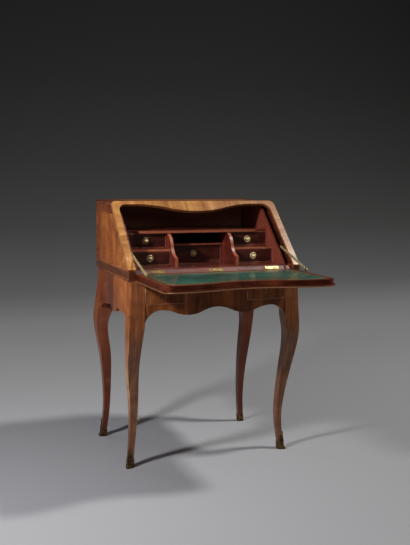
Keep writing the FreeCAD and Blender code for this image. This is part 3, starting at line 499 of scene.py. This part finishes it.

# Frieze drawers: two shallow drawers in the front, veneered to match it, each
# with a thin rounded bead let in round its edge and a brass keyhole liner. The
# keyhole itself is a flat dark sheet inside the liner, painted shade.
bead_width, bead_proud, bead_sunk, front_thickness = 0.0034, 0.0014, 0.0004, 0.018
bead_shades = (linear(112, 66, 42), linear(160, 106, 74), linear(204, 156, 118))


def bead_frame(x, y, z, width, proud):
    """A half-round bead mitred round an upright rectangle; its rows run over the half round."""
    turn = np.linspace(0, math.pi, 9)[:, None]
    inward = bead_sunk + width / 2 * (1 - np.cos(turn))
    depth = y - proud * np.sin(turn) + bead_sunk
    corner_x = np.array([x[0], x[1], x[1], x[0]])[None]
    corner_z = np.array([z[0], z[0], z[1], z[1]])[None]
    to_x = np.array([1, -1, -1, 1])[None]
    to_z = np.array([1, 1, -1, -1])[None]
    spread = np.ones_like(corner_x)
    return np.stack([corner_x + to_x * inward, depth * spread, corner_z + to_z * inward], axis=-1)


def disc_ring(profile, x, y, z, count=48):
    """A profile of (radius, reach) pairs turned about an axis towards the front."""
    radius, reach = np.array(profile).T[:, :, None]
    angle = np.linspace(0, 2 * math.pi, count, endpoint=False)[None]
    level = np.ones_like(angle)
    return np.stack([x + radius * np.cos(angle), y - reach * level, z + radius * np.sin(angle)], axis=-1)


lock_brass = metal_finish("keyhole_brass", linear(206, 178, 112), linear(120, 92, 50), gloss=0.28, age=0.5)
# The keyhole's dark sheet stands for the shade inside the hole: painted shade, mottled by noise.
keyhole_shade = Finish("keyhole_painted_shade", Roughness=0.9)
hole_shade_mottle = keyhole_shade.noise(keyhole_shade.place, scale=300.0)
keyhole_shade.give(Base_Color=keyhole_shade.tint(hole_shade_mottle, linear(12, 9, 7), linear(30, 22, 16)))
key_round, key_slit, key_drop, key_middle, key_opening = 0.0026, 0.00143, 0.0085, -0.0030, 0.45


def keyhole(growth, x, y, z):
    """A keyhole outline, a round above a slit, as one row of points grown about its middle."""
    turn = np.linspace(-0.5 * math.pi + key_opening, 1.5 * math.pi - key_opening, 29)
    x_row = np.concatenate([key_round * np.cos(turn), [-key_slit, key_slit]])
    z_row = np.concatenate([key_round * np.sin(turn), [-key_drop, -key_drop]])
    tall = key_middle + (z_row - key_middle) * growth ** 0.7
    return np.stack([x + x_row * growth, np.full_like(x_row, y), z + tall], axis=-1)


lock_height, hole_proud = 0.646, 0.00015
rim_steps = ((1.75, -0.0005), (1.75, 0.0006), (1.35, 0.0010), (1.1, 0.0006), (1.1, -0.0005))
hole_steps = (1.15, 0.6, 0.02)
for hand, seed in (("left", 2.0), ("right", 5.0)):
    body = f"frieze_drawer_{hand}"
    low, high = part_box(body)
    front_veneer(f"{body}_veneer", seed, low.y + front_thickness).onto(nodes[body])
    outline = bead_frame((low.x, high.x), low.y, (low.z, high.z), bead_width, bead_proud)
    bead = surface(f"{body}_bead", outline, crease=50)
    plain_wood(f"{body}_bead_wood", bead_shades, "x", gloss=0.3).onto(bead)
    lock_x = (low.x + high.x) / 2
    rim = [keyhole(growth, lock_x, low.y - proud, lock_height) for growth, proud in rim_steps]
    liner = surface(f"{body}_keyhole", np.stack(rim), crease=50)
    lock_brass.onto(liner)
    # A dark sheet just proud of the front fills the keyhole: painted shade.
    rings = [keyhole(growth, lock_x, low.y - hole_proud, lock_height) for growth in hole_steps]
    hole = surface(f"{body}_keyhole_painted_shade", np.stack(rings))
    keyhole_shade.onto(hole)
    for piece, slot in ((bead, "frame_veneer"), (liner, "brass"), (hole, "brass")):
        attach(piece, body)

# Waist: two solid rails with a bead along each arris. The hollow between the
# beads and the rails' front ends are painted darker than the veneers: painted shade.
waist_shades = (linear(80, 38, 18), linear(128, 71, 35), linear(168, 108, 62))
waist = Finish("waist_wood", Coat_Weight=0.06, Coat_Roughness=0.14, Specular_IOR_Level=0.25)
tone, pores, fibre = wood(waist, waist.y, waist.z, waist.x, ring=70, drift=0.005)
# The hollow between the beads is painted darker: painted shade in the recess.
painted_hollow_shade = (waist.z - (waist_top + waist_bottom) / 2).line(0.010, 0.016)
colour = waist.tint(painted_hollow_shade * 0.8, waist.shades(tone, waist_shades), linear(70, 32, 15))
# The rails' front ends are painted darker: painted shade under the fall.
front_end_shade = waist.y.fall(case_front + 0.0008, case_front + 0.0016)
colour = waist.tint(front_end_shade * 0.6, colour, linear(58, 26, 14))
polish(waist, colour, pores, fibre, gloss=0.26)
waist.onto(nodes["waist_rail_left"], nodes["waist_rail_right"])

# Upper case: sides veneered in two matched leaves, with a red crossband up the
# back edge, a golden one behind the slant, and dark stringing between them.
slant_run = 0.238
slant_angle = math.atan2(case_top - waist_top, slant_run)
slant_sin, slant_cos = math.sin(slant_angle), math.cos(slant_angle)
rear_band, slant_band, join_from_back = 0.046, 0.050, 0.125
gold_shades = (linear(118, 70, 31), linear(158, 105, 53), linear(192, 141, 82))
stringing = (0.0005, 0.0009)


def slant_places(finish):
    """How far a point lies behind the slant, and how far up along it."""
    run, rise = finish.y - case_front, finish.z - waist_top
    return run * slant_sin - rise * slant_cos, run * slant_cos + rise * slant_sin


upper_side = Finish("upper_side_veneer", Coat_Weight=0.14, Coat_Roughness=0.14, Specular_IOR_Level=0.35)
behind, up_slant = slant_places(upper_side)
from_back = case_back - upper_side.y
in_rear = from_back.within(rear_band)
in_slant = behind.within(slant_band) * (1 - in_rear)
field_middle = case_back - join_from_back
along, across = matched_field(upper_side, field_middle, 0.55, 0.3)
along = upper_side.choose(in_rear, along, upper_side.y)
across = upper_side.choose(in_rear, across, upper_side.z + 3.0)
along = upper_side.choose(in_slant, along, behind)
across = upper_side.choose(in_slant, across, up_slant + 5.0)
tone, pores, fibre = wood(upper_side, along, across, upper_side.x, ring=42, drift=0.014)
rear = upper_side.shades(tone, band_shades)
field = upper_side.tint(from_back.fall(0.060, 0.130) * 0.5, upper_side.shades(tone, side_shades), rear)
colour = upper_side.tint(in_rear, field, rear)
colour = upper_side.tint(in_slant * 0.4, colour, upper_side.shades(tone, gold_shades))
edge = upper_side.least(abs(from_back - rear_band), abs(behind - slant_band))
colour = upper_side.tint(edge.line(*stringing) * 0.75, colour, string_colour)
join = (upper_side.y - field_middle).line(0.0002, 0.0006) * (1 - in_rear) * (1 - in_slant)
colour = upper_side.tint(join * 0.5, colour, string_colour)
colour = upper_side.tint(0.14, colour, linear(92, 36, 10))
inside = (half_width - abs(upper_side.x)).rise(0.003, 0.004)
inner_wood = upper_side.ramp(tone, (0.1, linear(44, 15, 10)), (0.9, linear(98, 40, 28)))
colour = upper_side.tint(inside, colour, inner_wood)
polish(upper_side, colour, pores, fibre, gloss=0.28)
upper_side.onto(nodes["upper_side_left"], nodes["upper_side_right"])

# Slanting frame: stiles and a shaped rail round the opening, crossbanded in a
# pale golden wood. Behind the veneer its edges are stained dark.


def frame_finish(name, level):
    """Crossband: the grain runs across the stile, or up and down on the rail."""
    band = Finish(name, Coat_Weight=0.14, Coat_Roughness=0.14, Specular_IOR_Level=0.35)
    behind, up_slant = slant_places(band)
    if level:
        along, across = up_slant, band.x
    else:
        along, across = band.x, up_slant
    tone, pores, fibre = wood(band, along, across, behind, ring=34, drift=0.018)
    inside = behind.rise(0.0022, 0.0030) * (half_width - abs(band.x)).rise(0.0010, 0.0020)
    colour = band.tint(inside * 0.7, band.shades(tone, gold_shades), linear(96, 48, 28))
    polish(band, colour, pores, fibre, gloss=0.27)
    return band


frame_finish("stile_veneer", False).onto(nodes["slant_stile_left"], nodes["slant_stile_right"])
frame_finish("rail_veneer", True).onto(nodes["slant_rail"])

# Top: one board with rounded shoulders. Its top is quartered veneer inside a
# crossband and stringing; the shoulders are banded in a redder wood.
top_band, shoulder, top_thickness = 0.040, 0.030, 0.0140
top = Finish("top_veneer", Coat_Weight=0.25, Coat_Roughness=0.16, Specular_IOR_Level=0.4)
top_front = case_front + slant_run
middle_y = (top_front + case_back) / 2
from_side = half_width - abs(top.x)
from_top = case_top - top.z
from_ends = top.least(from_side - shoulder, case_back - top.y, top.y - top_front)
below_top = from_top.rise(top_thickness, top_thickness + 0.0006)
on_shoulder = top.most(from_side.fall(shoulder - 0.0005, shoulder), below_top)
in_band = from_ends.within(top_band)
side_band = (from_side - shoulder).within(top_band)
along = abs(top.x) * 0.8 + abs(top.y - middle_y) * 0.6
across = abs(top.x) * 0.6 - abs(top.y - middle_y) * 0.8
along = top.choose(in_band, along, top.choose(side_band, top.y, top.x))
across = top.choose(in_band, across, top.choose(side_band, top.x, top.y) + 4.0)
along = top.choose(on_shoulder, along, top.y)
across = top.choose(on_shoulder, across, top.z + abs(top.x) + 2.0)
tone, pores, fibre = wood(top, along, across, top.x * 0.3 + top.z, ring=45, drift=0.012)
banded = top.most(in_band, on_shoulder)
colour = top.tint(banded, top.shades(tone, side_shades), top.shades(tone, band_shades))
colour = top.tint(on_shoulder * 0.4, colour, linear(84, 38, 20))
band_line = (from_ends - top_band).line(*stringing) * (1 - on_shoulder)
shoulder_line = (from_side - shoulder).line(0.0004, 0.0008)
colour = top.tint(top.most(band_line, shoulder_line) * 0.7, colour, string_colour)
hollow_edge = (top_thickness + 0.0012, top_thickness + 0.0018)
colour = top.tint(from_top.rise(*hollow_edge) * from_side.rise(*hollow_edge), colour, linear(70, 26, 18))
polish(top, colour, pores, fibre, gloss=0.24)
top.onto(nodes["top_board"])

# Writing bed and gallery: polished mahogany boards, housed into the sides. The
# red is deepest inside, and the front edges are painted paler and warmer, partly
# rubbed wear and partly painted highlight.
red_shades = (linear(52, 17, 12), linear(98, 40, 28), linear(138, 64, 44))
divider_shades = (linear(52, 17, 12), linear(96, 34, 24), linear(134, 58, 40))
edge_rub_and_highlight, scuff_and_reflection_colour, warm_red = linear(180, 104, 74), linear(150, 108, 92), linear(164, 84, 62)


def mahogany(name, axis, seed=0.0, edge_y=None, gloss=0.26, scuffs_and_reflections=0.0, sheen=0.5, rub=0.55, warm=0.0):
    """Mahogany with its grain along an axis; edge_y is a front edge painted paler, rubbed wear and painted
    highlight together.

    Scuffs are pale, dull streaks where noise, drawn out along the grain, is highest;
    their paleness is scuffed wear and painted reflection together.
    """
    board = Finish(name, Coat_Weight=sheen, Coat_Roughness=0.06)
    along, across, deep = board.grain(axis)
    tone, pores, fibre = wood(board, along, across + seed, deep, ring=36, drift=0.015)
    colour = board.tint(warm, board.shades(tone, red_shades, last=0.95), warm_red)
    if edge_y is not None:
        patch = board.noise(board.place, scale=35.0, detail=3.0)
        # Paler towards the front edge: rubbed wear and painted highlight together.
        rubbed = (board.y + (patch - 0.5) * 0.006).fall(edge_y + 0.001, edge_y + 0.007)
        colour = board.tint(rubbed * rub, colour, edge_rub_and_highlight)
    wear = None
    if scuffs_and_reflections:
        # Pale streaks: scuffs together with painted reflection on the polished board.
        streak = board.noise(board.vector(along * 7.0, across * 60.0, deep * 60.0), detail=4.0, rough=0.6)
        scuffed_and_reflecting = streak.rise(0.46, 0.70)
        colour = board.tint(scuffed_and_reflecting * scuffs_and_reflections, colour, scuff_and_reflection_colour)
        wear = scuffed_and_reflecting * 3.0
    polish(board, colour, pores, fibre, gloss=gloss, wear=wear)
    return board


mahogany("bed_front_mahogany", "x", gloss=0.5, scuffs_and_reflections=0.3, sheen=0.03).onto(nodes["bed_front"])
mahogany("bed_mahogany", "x", gloss=0.22, scuffs_and_reflections=0.45, sheen=0.6).onto(nodes["bed_sides"])
mahogany("bed_panel_mahogany", "x", seed=3.0, gloss=0.18, scuffs_and_reflections=0.4, sheen=1.0).onto(nodes["bed_panel"])
mahogany("lining_mahogany", "z", seed=1.0, warm=0.35).onto(nodes["lining_left"], nodes["lining_right"])
shelf_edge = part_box("gallery_shelf")[0].y + 0.004
mahogany("shelf_mahogany", "x", seed=2.0, edge_y=shelf_edge).onto(nodes["gallery_shelf"])
rail_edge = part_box("drawer_rails")[0].y
mahogany("drawer_rail_mahogany", "x", seed=4.0, edge_y=rail_edge, rub=0.85).onto(nodes["drawer_rails"])
pigeonhole_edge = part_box("pigeonhole_shelf")[0].y
mahogany("pigeonhole_mahogany", "x", seed=5.0, edge_y=pigeonhole_edge).onto(nodes["pigeonhole_shelf"])
divider = Finish("divider_mahogany", Coat_Weight=0.3, Coat_Roughness=0.12)
tone, pores, fibre = wood(divider, divider.z, divider.y, divider.x, ring=36, drift=0.012)
# The divider's edges, faces that don't look sideways, are painted paler: painted highlight with some wear.
edge_highlight_and_rub = abs(divider.facing_x()).fall(0.4, 0.7)
colour = divider.tint(edge_highlight_and_rub * 0.55, divider.shades(tone, divider_shades, last=0.95), edge_rub_and_highlight)
polish(divider, colour, pores, fibre)
divider.onto(nodes["divider_left"], nodes["divider_right"])

# Gallery drawers: oak boxes behind mahogany fronts with a thin bead round each,
# opened by a turned brass knob on a ringed rosette. The centre knob is painted in
# brighter brass, a painted highlight.
knob_profile = [
    (0.0, -0.0004), (0.0124, -0.0004), (0.0126, 0.0006), (0.0122, 0.0017), (0.0113, 0.0023),
    (0.0104, 0.0018), (0.0098, 0.0008), (0.0086, 0.0006), (0.0076, 0.0009), (0.0071, 0.0018),
    (0.0063, 0.0022), (0.0055, 0.0016), (0.0044, 0.0018), (0.0033, 0.0030), (0.0029, 0.0046),
    (0.0029, 0.0066), (0.0034, 0.0076), (0.0030, 0.0084), (0.0040, 0.0096), (0.0050, 0.0110),
    (0.0054, 0.0124), (0.0050, 0.0140), (0.0038, 0.0154), (0.0020, 0.0163), (0.0, 0.0165),
]
groove_inner, groove_outer = 0.0069, 0.0103
small_bead_width, small_bead_proud = 0.0026, 0.0011
drawer_shades = (linear(44, 14, 10), linear(61, 22, 15), linear(96, 40, 27))
drawer_oak = plain_wood("drawer_oak", oak_shades, "y", gloss=0.6, seed=3.0)
drawer_names = (
    "lower_drawer_left",
    "lower_drawer_right",
    "upper_drawer_left",
    "upper_drawer_right",
    "centre_drawer",
)
for seed, body in enumerate(drawer_names):
    low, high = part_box(f"{body}_front")
    face = Finish(f"{body}_mahogany", Coat_Weight=0.4, Coat_Roughness=0.12)
    tone, pores, fibre = wood(face, face.x, face.z + seed * 1.7, face.y, ring=44, drift=0.014)
    polish(face, face.shades(tone, drawer_shades, last=0.95), pores, fibre)
    face.onto(nodes[f"{body}_front"])
    drawer_oak.onto(nodes[f"{body}_box"])
    outline = bead_frame((low.x, high.x), low.y, (low.z, high.z), small_bead_width, small_bead_proud)
    bead = surface(f"{body}_bead", outline, crease=50)
    mahogany(f"{body}_bead_mahogany", "x", seed=6.0, edge_y=low.y, gloss=0.24).onto(bead)
    knob_low, knob_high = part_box(f"{body}_knob")
    middle = (knob_low + knob_high) / 2
    turned = disc_ring(knob_profile, middle.x, knob_high.y, middle.z)
    knob = surface(f"{body}_turned_knob", turned, crease=55)
    groove = (middle.x, middle.z, groove_inner, groove_outer)
    # The centre knob gets brighter brass: painted light standing in for the light it catches.
    if body == "centre_drawer":
        bright, dull = linear(255, 240, 186), linear(150, 124, 74)
    else:
        bright, dull = linear(232, 212, 156), linear(58, 42, 22)
    metal_finish(f"{body}_knob_brass", bright, dull, 0.40, 0.68, groove, metallic=0.3).onto(knob)
    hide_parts(f"{body}_knob")
    for piece, slot in ((bead, "interior_mahogany"), (knob, "brass")):
        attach(piece, body)

# Fall: a board with a moulded lip whose lowest edge is painted pale, wear and
# painted highlight together, mahogany on its writing face and, on the face that
# shows when it is shut, matched veneer in a crossband.
fall_low, fall_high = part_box("fall_panel")
edge_drop, drop_span, fall_band = 0.036, 0.235, 0.045
face_shades = (linear(62, 24, 13), linear(108, 47, 26), linear(148, 78, 46))


def free_edge(finish, at):
    """Depth of the fall's free edge: level at the ends, with a cosine drop in the middle."""
    swing = finish.math("COSINE", finish.least(abs(finish.x), drop_span) * (math.pi / drop_span))
    return at + (swing + 1) * (edge_drop / 2)


fall = Finish("fall_wood", Coat_Weight=0.05, Coat_Roughness=0.25, Specular_IOR_Level=0.14)
outside = fall.z.fall(fall_low.z + 0.0006, fall_low.z + 0.0010)
to_side = fall_high.x - abs(fall.x)
to_front = fall.y - free_edge(fall, fall_low.y)
from_edge = fall.least(to_side, to_front, fall_high.y - fall.y)
in_band = from_edge.within(fall_band)
side_band = to_side.within(fall_band)
along = fall.choose(in_band * outside, fall.y + abs(fall.x) * 0.5, fall.choose(side_band, fall.y, fall.x))
across = fall.choose(in_band * outside, abs(fall.x) + 1.0, fall.choose(side_band, fall.x, fall.y) + 3.0)
along = fall.choose(outside, fall.choose(side_band, fall.x, fall.y), along)
across = fall.choose(outside, fall.choose(side_band, fall.y, fall.x) + 7.0, across)
tone, pores, fibre = wood(fall, along, across, fall.z, ring=42, drift=0.014)
show_face = fall.tint(in_band, fall.shades(tone, side_shades), fall.shades(tone, gold_shades))
band_line = (from_edge - fall_band).line(*stringing)
show_face = fall.tint(band_line * 0.75, show_face, string_colour)
side_mould, front_mould = to_side.fall(0.0045, 0.0055), to_front.fall(0.009, 0.011)
moulded = fall.most(side_mould, front_mould)
edge_wood = fall.tint(moulded * 0.85, fall.shades(tone, face_shades, last=0.95), linear(54, 15, 3))
# A pale line along the lip's lowest edge: painted highlight together with wear.
lip_highlight_and_wear = (fall.z - fall_low.z).fall(0.0035, 0.0055) * fall.most(side_mould * 0.25, front_mould)
edge_wood = fall.tint(lip_highlight_and_wear * 0.6, edge_wood, linear(176, 128, 98))
colour = fall.tint(outside, edge_wood, show_face)
wear = fall.noise(fall.place, scale=26.0, detail=4.0).rise(0.52, 0.70)
colour = fall.tint(wear * moulded * 0.2, colour, linear(160, 84, 48))
polish(fall, colour, pores, fibre, gloss=0.36, wear=wear * 0.5)
fall.onto(nodes["fall_panel"])

# Writing leather: goatskin glued into the recess and tooled hot through gold
# leaf, with four plain lines and a roll of small lozenges between the broad two.
# Its pebbles are Voronoi cells, and noise rubs the gold away.
skin_low, skin_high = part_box("fall_leather")
thin_line, broad_line = (0.0004, 0.0007), (0.0007, 0.0011)
outer_line, roll_outer, roll_middle, roll_inner, inner_line = 0.0075, 0.0110, 0.0165, 0.0220, 0.0400
roll_pitch, lozenge_slope = 0.0075, 480
skin_shades = (linear(14, 54, 45), linear(26, 80, 66), linear(52, 112, 94))
leather = Finish("tooled_leather", Coat_Weight=0.5, Coat_Roughness=0.13)
to_side = skin_high.x - abs(leather.x)
to_back = skin_high.y - leather.y
to_front = leather.y - free_edge(leather, skin_low.y)
to_edge = leather.least(to_side, to_back, to_front)
at_side = (to_side - leather.least(to_back, to_front)).fall(-0.0001, 0.0001)
roll_place = leather.choose(at_side, leather.x, leather.y)
roll = leather.math("SINE", roll_place * (2 * math.pi / roll_pitch))
lozenge = (abs(to_edge - roll_middle) * lozenge_slope + abs(roll) * 0.9).fall(0.75, 1.0)
lines = leather.most(
    (to_edge - outer_line).line(*thin_line),
    (to_edge - roll_outer).line(*broad_line),
    (to_edge - roll_inner).line(*broad_line),
    (to_edge - inner_line).line(*thin_line),
)
rub = leather.noise(leather.place, scale=40.0, detail=4.0, rough=0.65)
gilt = leather.most(lines, lozenge) * rub.fall(0.55, 0.72)
cell_sockets = {"Vector": leather.place, "Scale": 620.0}
cells = leather.node("ShaderNodeTexVoronoi", {"feature": "DISTANCE_TO_EDGE"}, cell_sockets)
pebble = cells.rise(0.0, 0.28)
cloud = leather.noise(leather.place, scale=7.0, detail=4.0)
skin = leather.shades(cloud, skin_shades, first=0.25, last=0.78)
skin = leather.tint((1 - pebble) * 0.30, skin, linear(10, 40, 34))
scuff = rub.rise(0.64, 0.80)
skin = leather.tint(scuff * 0.25, skin, linear(104, 140, 120))
leather.give(
    Base_Color=leather.tint(gilt, skin, linear(206, 168, 92)),
    Roughness=0.40 + (1 - pebble) * 0.14 + (cloud - 0.5) * 0.16 - gilt * 0.08,
    Metallic=gilt * 0.85,
)
leather.relief(pebble * (1 - gilt) * 0.4 + 0.6 - gilt * 0.4, 0.00018)
leather.onto(nodes["fall_leather"])

# Fall fittings: three butt hinges whose brass leaves are let in flush and
# screwed, a lock plate on the show face, and stay brackets. The right hinge's
# plates are painted in brighter brass, a painted highlight.
# A brighter copy of the hinge brass for the right hinge: painted highlight.
lit_hinge_shades = (linear(198, 168, 108), linear(128, 98, 56))
lit_hinge_brass = metal_finish("lit_hinge_brass", *lit_hinge_shades, gloss=0.34, age=0.54, metallic=0.6)
hinge_shades = (linear(128, 102, 62), linear(72, 52, 30))
hinge_brass = metal_finish("hinge_brass", *hinge_shades, gloss=0.42, age=0.50, metallic=0.7)
screw_shades = (linear(150, 122, 68), linear(70, 52, 30))
hinge_brass.onto(nodes["case_hinge_leaves"], nodes["fall_hinge_leaves"], nodes["stay_brackets"])
lock_brass.onto(nodes["fall_escutcheon"])
leaf_length, leaf_depth, leaf_rise, leaf_sunk = 0.054, 0.015, 0.0004, -0.0004
screw_radius, screw_rise, screw_gap, screw_stagger = 0.0022, 0.0006, 0.018, 0.002


def flush_leaf(x, y, z, tilt):
    """A flat plate with slightly rounded edges, its rings shrinking towards its middle.

    Its depth runs back and, by the tilt, up.
    """
    edge = ((0.0, leaf_sunk), (0.0, leaf_rise * 0.4), (leaf_rise, leaf_rise))
    steps = (*edge, (leaf_depth * 0.49, leaf_rise))
    corners = np.array([[-1, -1], [0, -1], [1, -1], [1, 0], [1, 1], [0, 1], [-1, 1], [-1, 0]])
    rings = []
    for inset, rise in steps:
        along = corners[:, 0] * (leaf_length / 2 - inset)
        back = corners[:, 1] * (leaf_depth / 2 - inset)
        y_row = y + back * math.cos(tilt) - rise * math.sin(tilt)
        z_row = z + back * math.sin(tilt) + rise * math.cos(tilt)
        rings.append(np.column_stack([x + along, y_row, z_row]))
    return np.stack(rings)


def screw_head(x, y, z):
    """A shallow dome, its radius and height tracing a quarter of an ellipse."""
    turn = np.linspace(0, math.pi / 2, 5)[:, None]
    angle = np.linspace(0, 2 * math.pi, 16, endpoint=False)[None]
    level = np.ones_like(angle)
    return np.stack([
        x + screw_radius * np.cos(turn) * np.cos(angle),
        y + screw_radius * np.cos(turn) * np.sin(angle),
        z + screw_rise * np.sin(turn) * level,
    ], axis=-1)


hinge_low, hinge_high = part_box("fall_hinge_leaves")
hinge_far = hinge_high.x - leaf_length / 2
leaf_y = hinge_low.y - leaf_depth / 2
bed_low, bed_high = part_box("bed_front")
bevel_rise = 0.01125
bevel_run = bevel_rise / math.tan(slant_angle)
bevel_y, bevel_z = bed_low.y + bevel_run / 2, bed_high.z - bevel_rise / 2
hinges = (
    ("left", -hinge_far, hinge_brass),
    ("middle", 0.0, hinge_brass),
    ("right", hinge_far, lit_hinge_brass),
)
for name, x, brass in hinges:
    bed_plate = surface(f"bed_hinge_plate_{name}", flush_leaf(x, bevel_y, bevel_z, slant_angle), crease=30)
    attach(bed_plate, "case")
    plate = surface(f"hinge_plate_{name}", flush_leaf(x, leaf_y, fall_high.z, 0.0), crease=30)
    brass.onto(bed_plate, plate)
    heads = [
        screw_head(x + aside * screw_gap, leaf_y + back * screw_stagger, fall_high.z + leaf_rise)
        for aside, back in ((-1, 1), (0, -1), (1, 1))
    ]
    screws = surface(f"hinge_screws_{name}", *heads, crease=60)
    metal_finish(f"hinge_screw_brass_{name}", *screw_shades, gloss=0.34, age=0.4).onto(screws)
    for piece in (plate, screws):
        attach(piece, "fall")

# Stays: drawn brass bars that hold the fall level. Each turns on its bracket
# and its upper pin slides in a brass track on the side of the case.
stay_shades = (linear(204, 186, 138), linear(116, 98, 62))
stay_brass = metal_finish("stay_brass", *stay_shades, gloss=0.34, age=0.5, metallic=0.5)
stay_brass.onto(nodes["stay_left"], nodes["stay_right"])
track_shades = (linear(132, 108, 66), linear(66, 52, 32))
metal_finish("track_brass", *track_shades, gloss=0.36, age=0.4).onto(nodes["stay_tracks"])

# Studio: a pale grey floor that sweeps up into a backdrop, painted darker with
# height as painted shade. A small lamp near the left front and a strong one high on
# the right cast the shadows; weak ones behind and in front soften them.
floor_width, floor_front, bend_start, bend_radius = 7.0, -5.5, 2.2, 2.4
wall_top, darkest_height = 6.0, 3.0
turn = np.linspace(0, math.pi / 2, 33)
level_y = np.linspace(floor_front, bend_start, 12)[:-1]
bend_y, bend_z = bend_start + bend_radius * np.sin(turn), bend_radius * (1 - np.cos(turn))
sweep_y = np.concatenate([level_y, bend_y, bend_y[-1:]])
sweep_z = np.concatenate([np.zeros_like(level_y), bend_z, [wall_top]])
sweep_x = np.linspace(-floor_width, floor_width, 3)
sheet = np.stack(np.broadcast_arrays(sweep_x[None], sweep_y[:, None], sweep_z[:, None]), axis=-1)
backdrop = surface("backdrop", sheet, wrap=False)
paper = Finish("backdrop_paper", Roughness=0.85, Specular_IOR_Level=0.1)
mottle = paper.noise(paper.place, scale=2.0, detail=3.0)
climb = paper.math("SQRT", paper.most(paper.z, 0.0) / darkest_height)
# The paper darkens with height: painted shade standing in for light falling off up the backdrop.
shade = paper.ramp(
    climb + (mottle - 0.5) * 0.01,
    (0.0, linear(156, 156, 158)),
    (0.13, linear(146, 146, 147)),
    (0.26, linear(112, 112, 113)),
    (0.46, linear(82, 82, 82)),
    (0.62, linear(67, 67, 67)),
    (0.80, linear(52, 52, 52)),
    (1.0, linear(40, 40, 40)),
)
paper.give(Base_Color=shade)
paper.onto(backdrop)


def lamp(name, place, aim, size, power, tone):
    """A square soft lamp that faces a point."""
    light = bpy.data.lights.new(name, "AREA")
    light.shape = "SQUARE"
    light.size = size
    light.energy = power
    light.color = tone
    holder = bpy.data.objects.new(name, light)
    facing = (Vector(aim) - Vector(place)).to_track_quat("-Z", "Y")
    holder.matrix_world = Matrix.Translation(place) @ facing.to_matrix().to_4x4()
    bpy.context.scene.collection.objects.link(holder)


lamp("left_lamp", (-1.54, -0.58, 1.52), (0, 0.1, 0.6), 0.16, 33, (1.0, 0.985, 1.03))
lamp("right_lamp", (3.3, -1.12, 5.6), (0, 0.1, 0.6), 0.57, 275, (1.0, 1.0, 0.97))
lamp("back_lamp", (-2.0, 2.6, 2.0), (0, 0.2, 0.6), 1.2, 13, (1.0, 1.0, 1.0))
lamp("front_lamp", (-0.6, -3.4, 2.3), (0, 0.1, 0.7), 1.4, 7, (1.0, 1.0, 1.0))
world = bpy.data.worlds.new("studio_air")
world.use_nodes = True
world.node_tree.nodes["Background"].inputs["Color"].default_value = (0.022, 0.022, 0.024, 1)
bpy.context.scene.world = world
bpy.context.scene.view_settings.view_transform = "Standard"

# Camera: it stands left of the desk's front, a little above the writing bed,
# and takes in the whole desk with room around it.
view_height, focal_pixels, sensor_height = 545, 816, 36
camera_place = Vector((-1.127, case_front - 2.708, 1.072))
camera_yaw, camera_pitch, camera_roll = (math.radians(a) for a in (21.69, 6.88, 0.56))
forward = Vector((
    math.sin(camera_yaw) * math.cos(camera_pitch),
    math.cos(camera_yaw) * math.cos(camera_pitch),
    -math.sin(camera_pitch),
))
level_right = Vector((math.cos(camera_yaw), -math.sin(camera_yaw), 0))
level_up = level_right.cross(forward)
right = level_right * math.cos(camera_roll) + level_up * math.sin(camera_roll)
up = level_up * math.cos(camera_roll) - level_right * math.sin(camera_roll)
camera_data = bpy.data.cameras.new("camera")
camera_data.sensor_fit = "VERTICAL"
camera_data.sensor_height = sensor_height
camera_data.lens = focal_pixels / view_height * sensor_height
camera = bpy.data.objects.new("camera", camera_data)
facing = Matrix((right, up, -forward)).transposed().to_4x4()
camera.matrix_world = Matrix.Translation(camera_place) @ facing
bpy.context.scene.collection.objects.link(camera)
bpy.context.scene.camera = camera
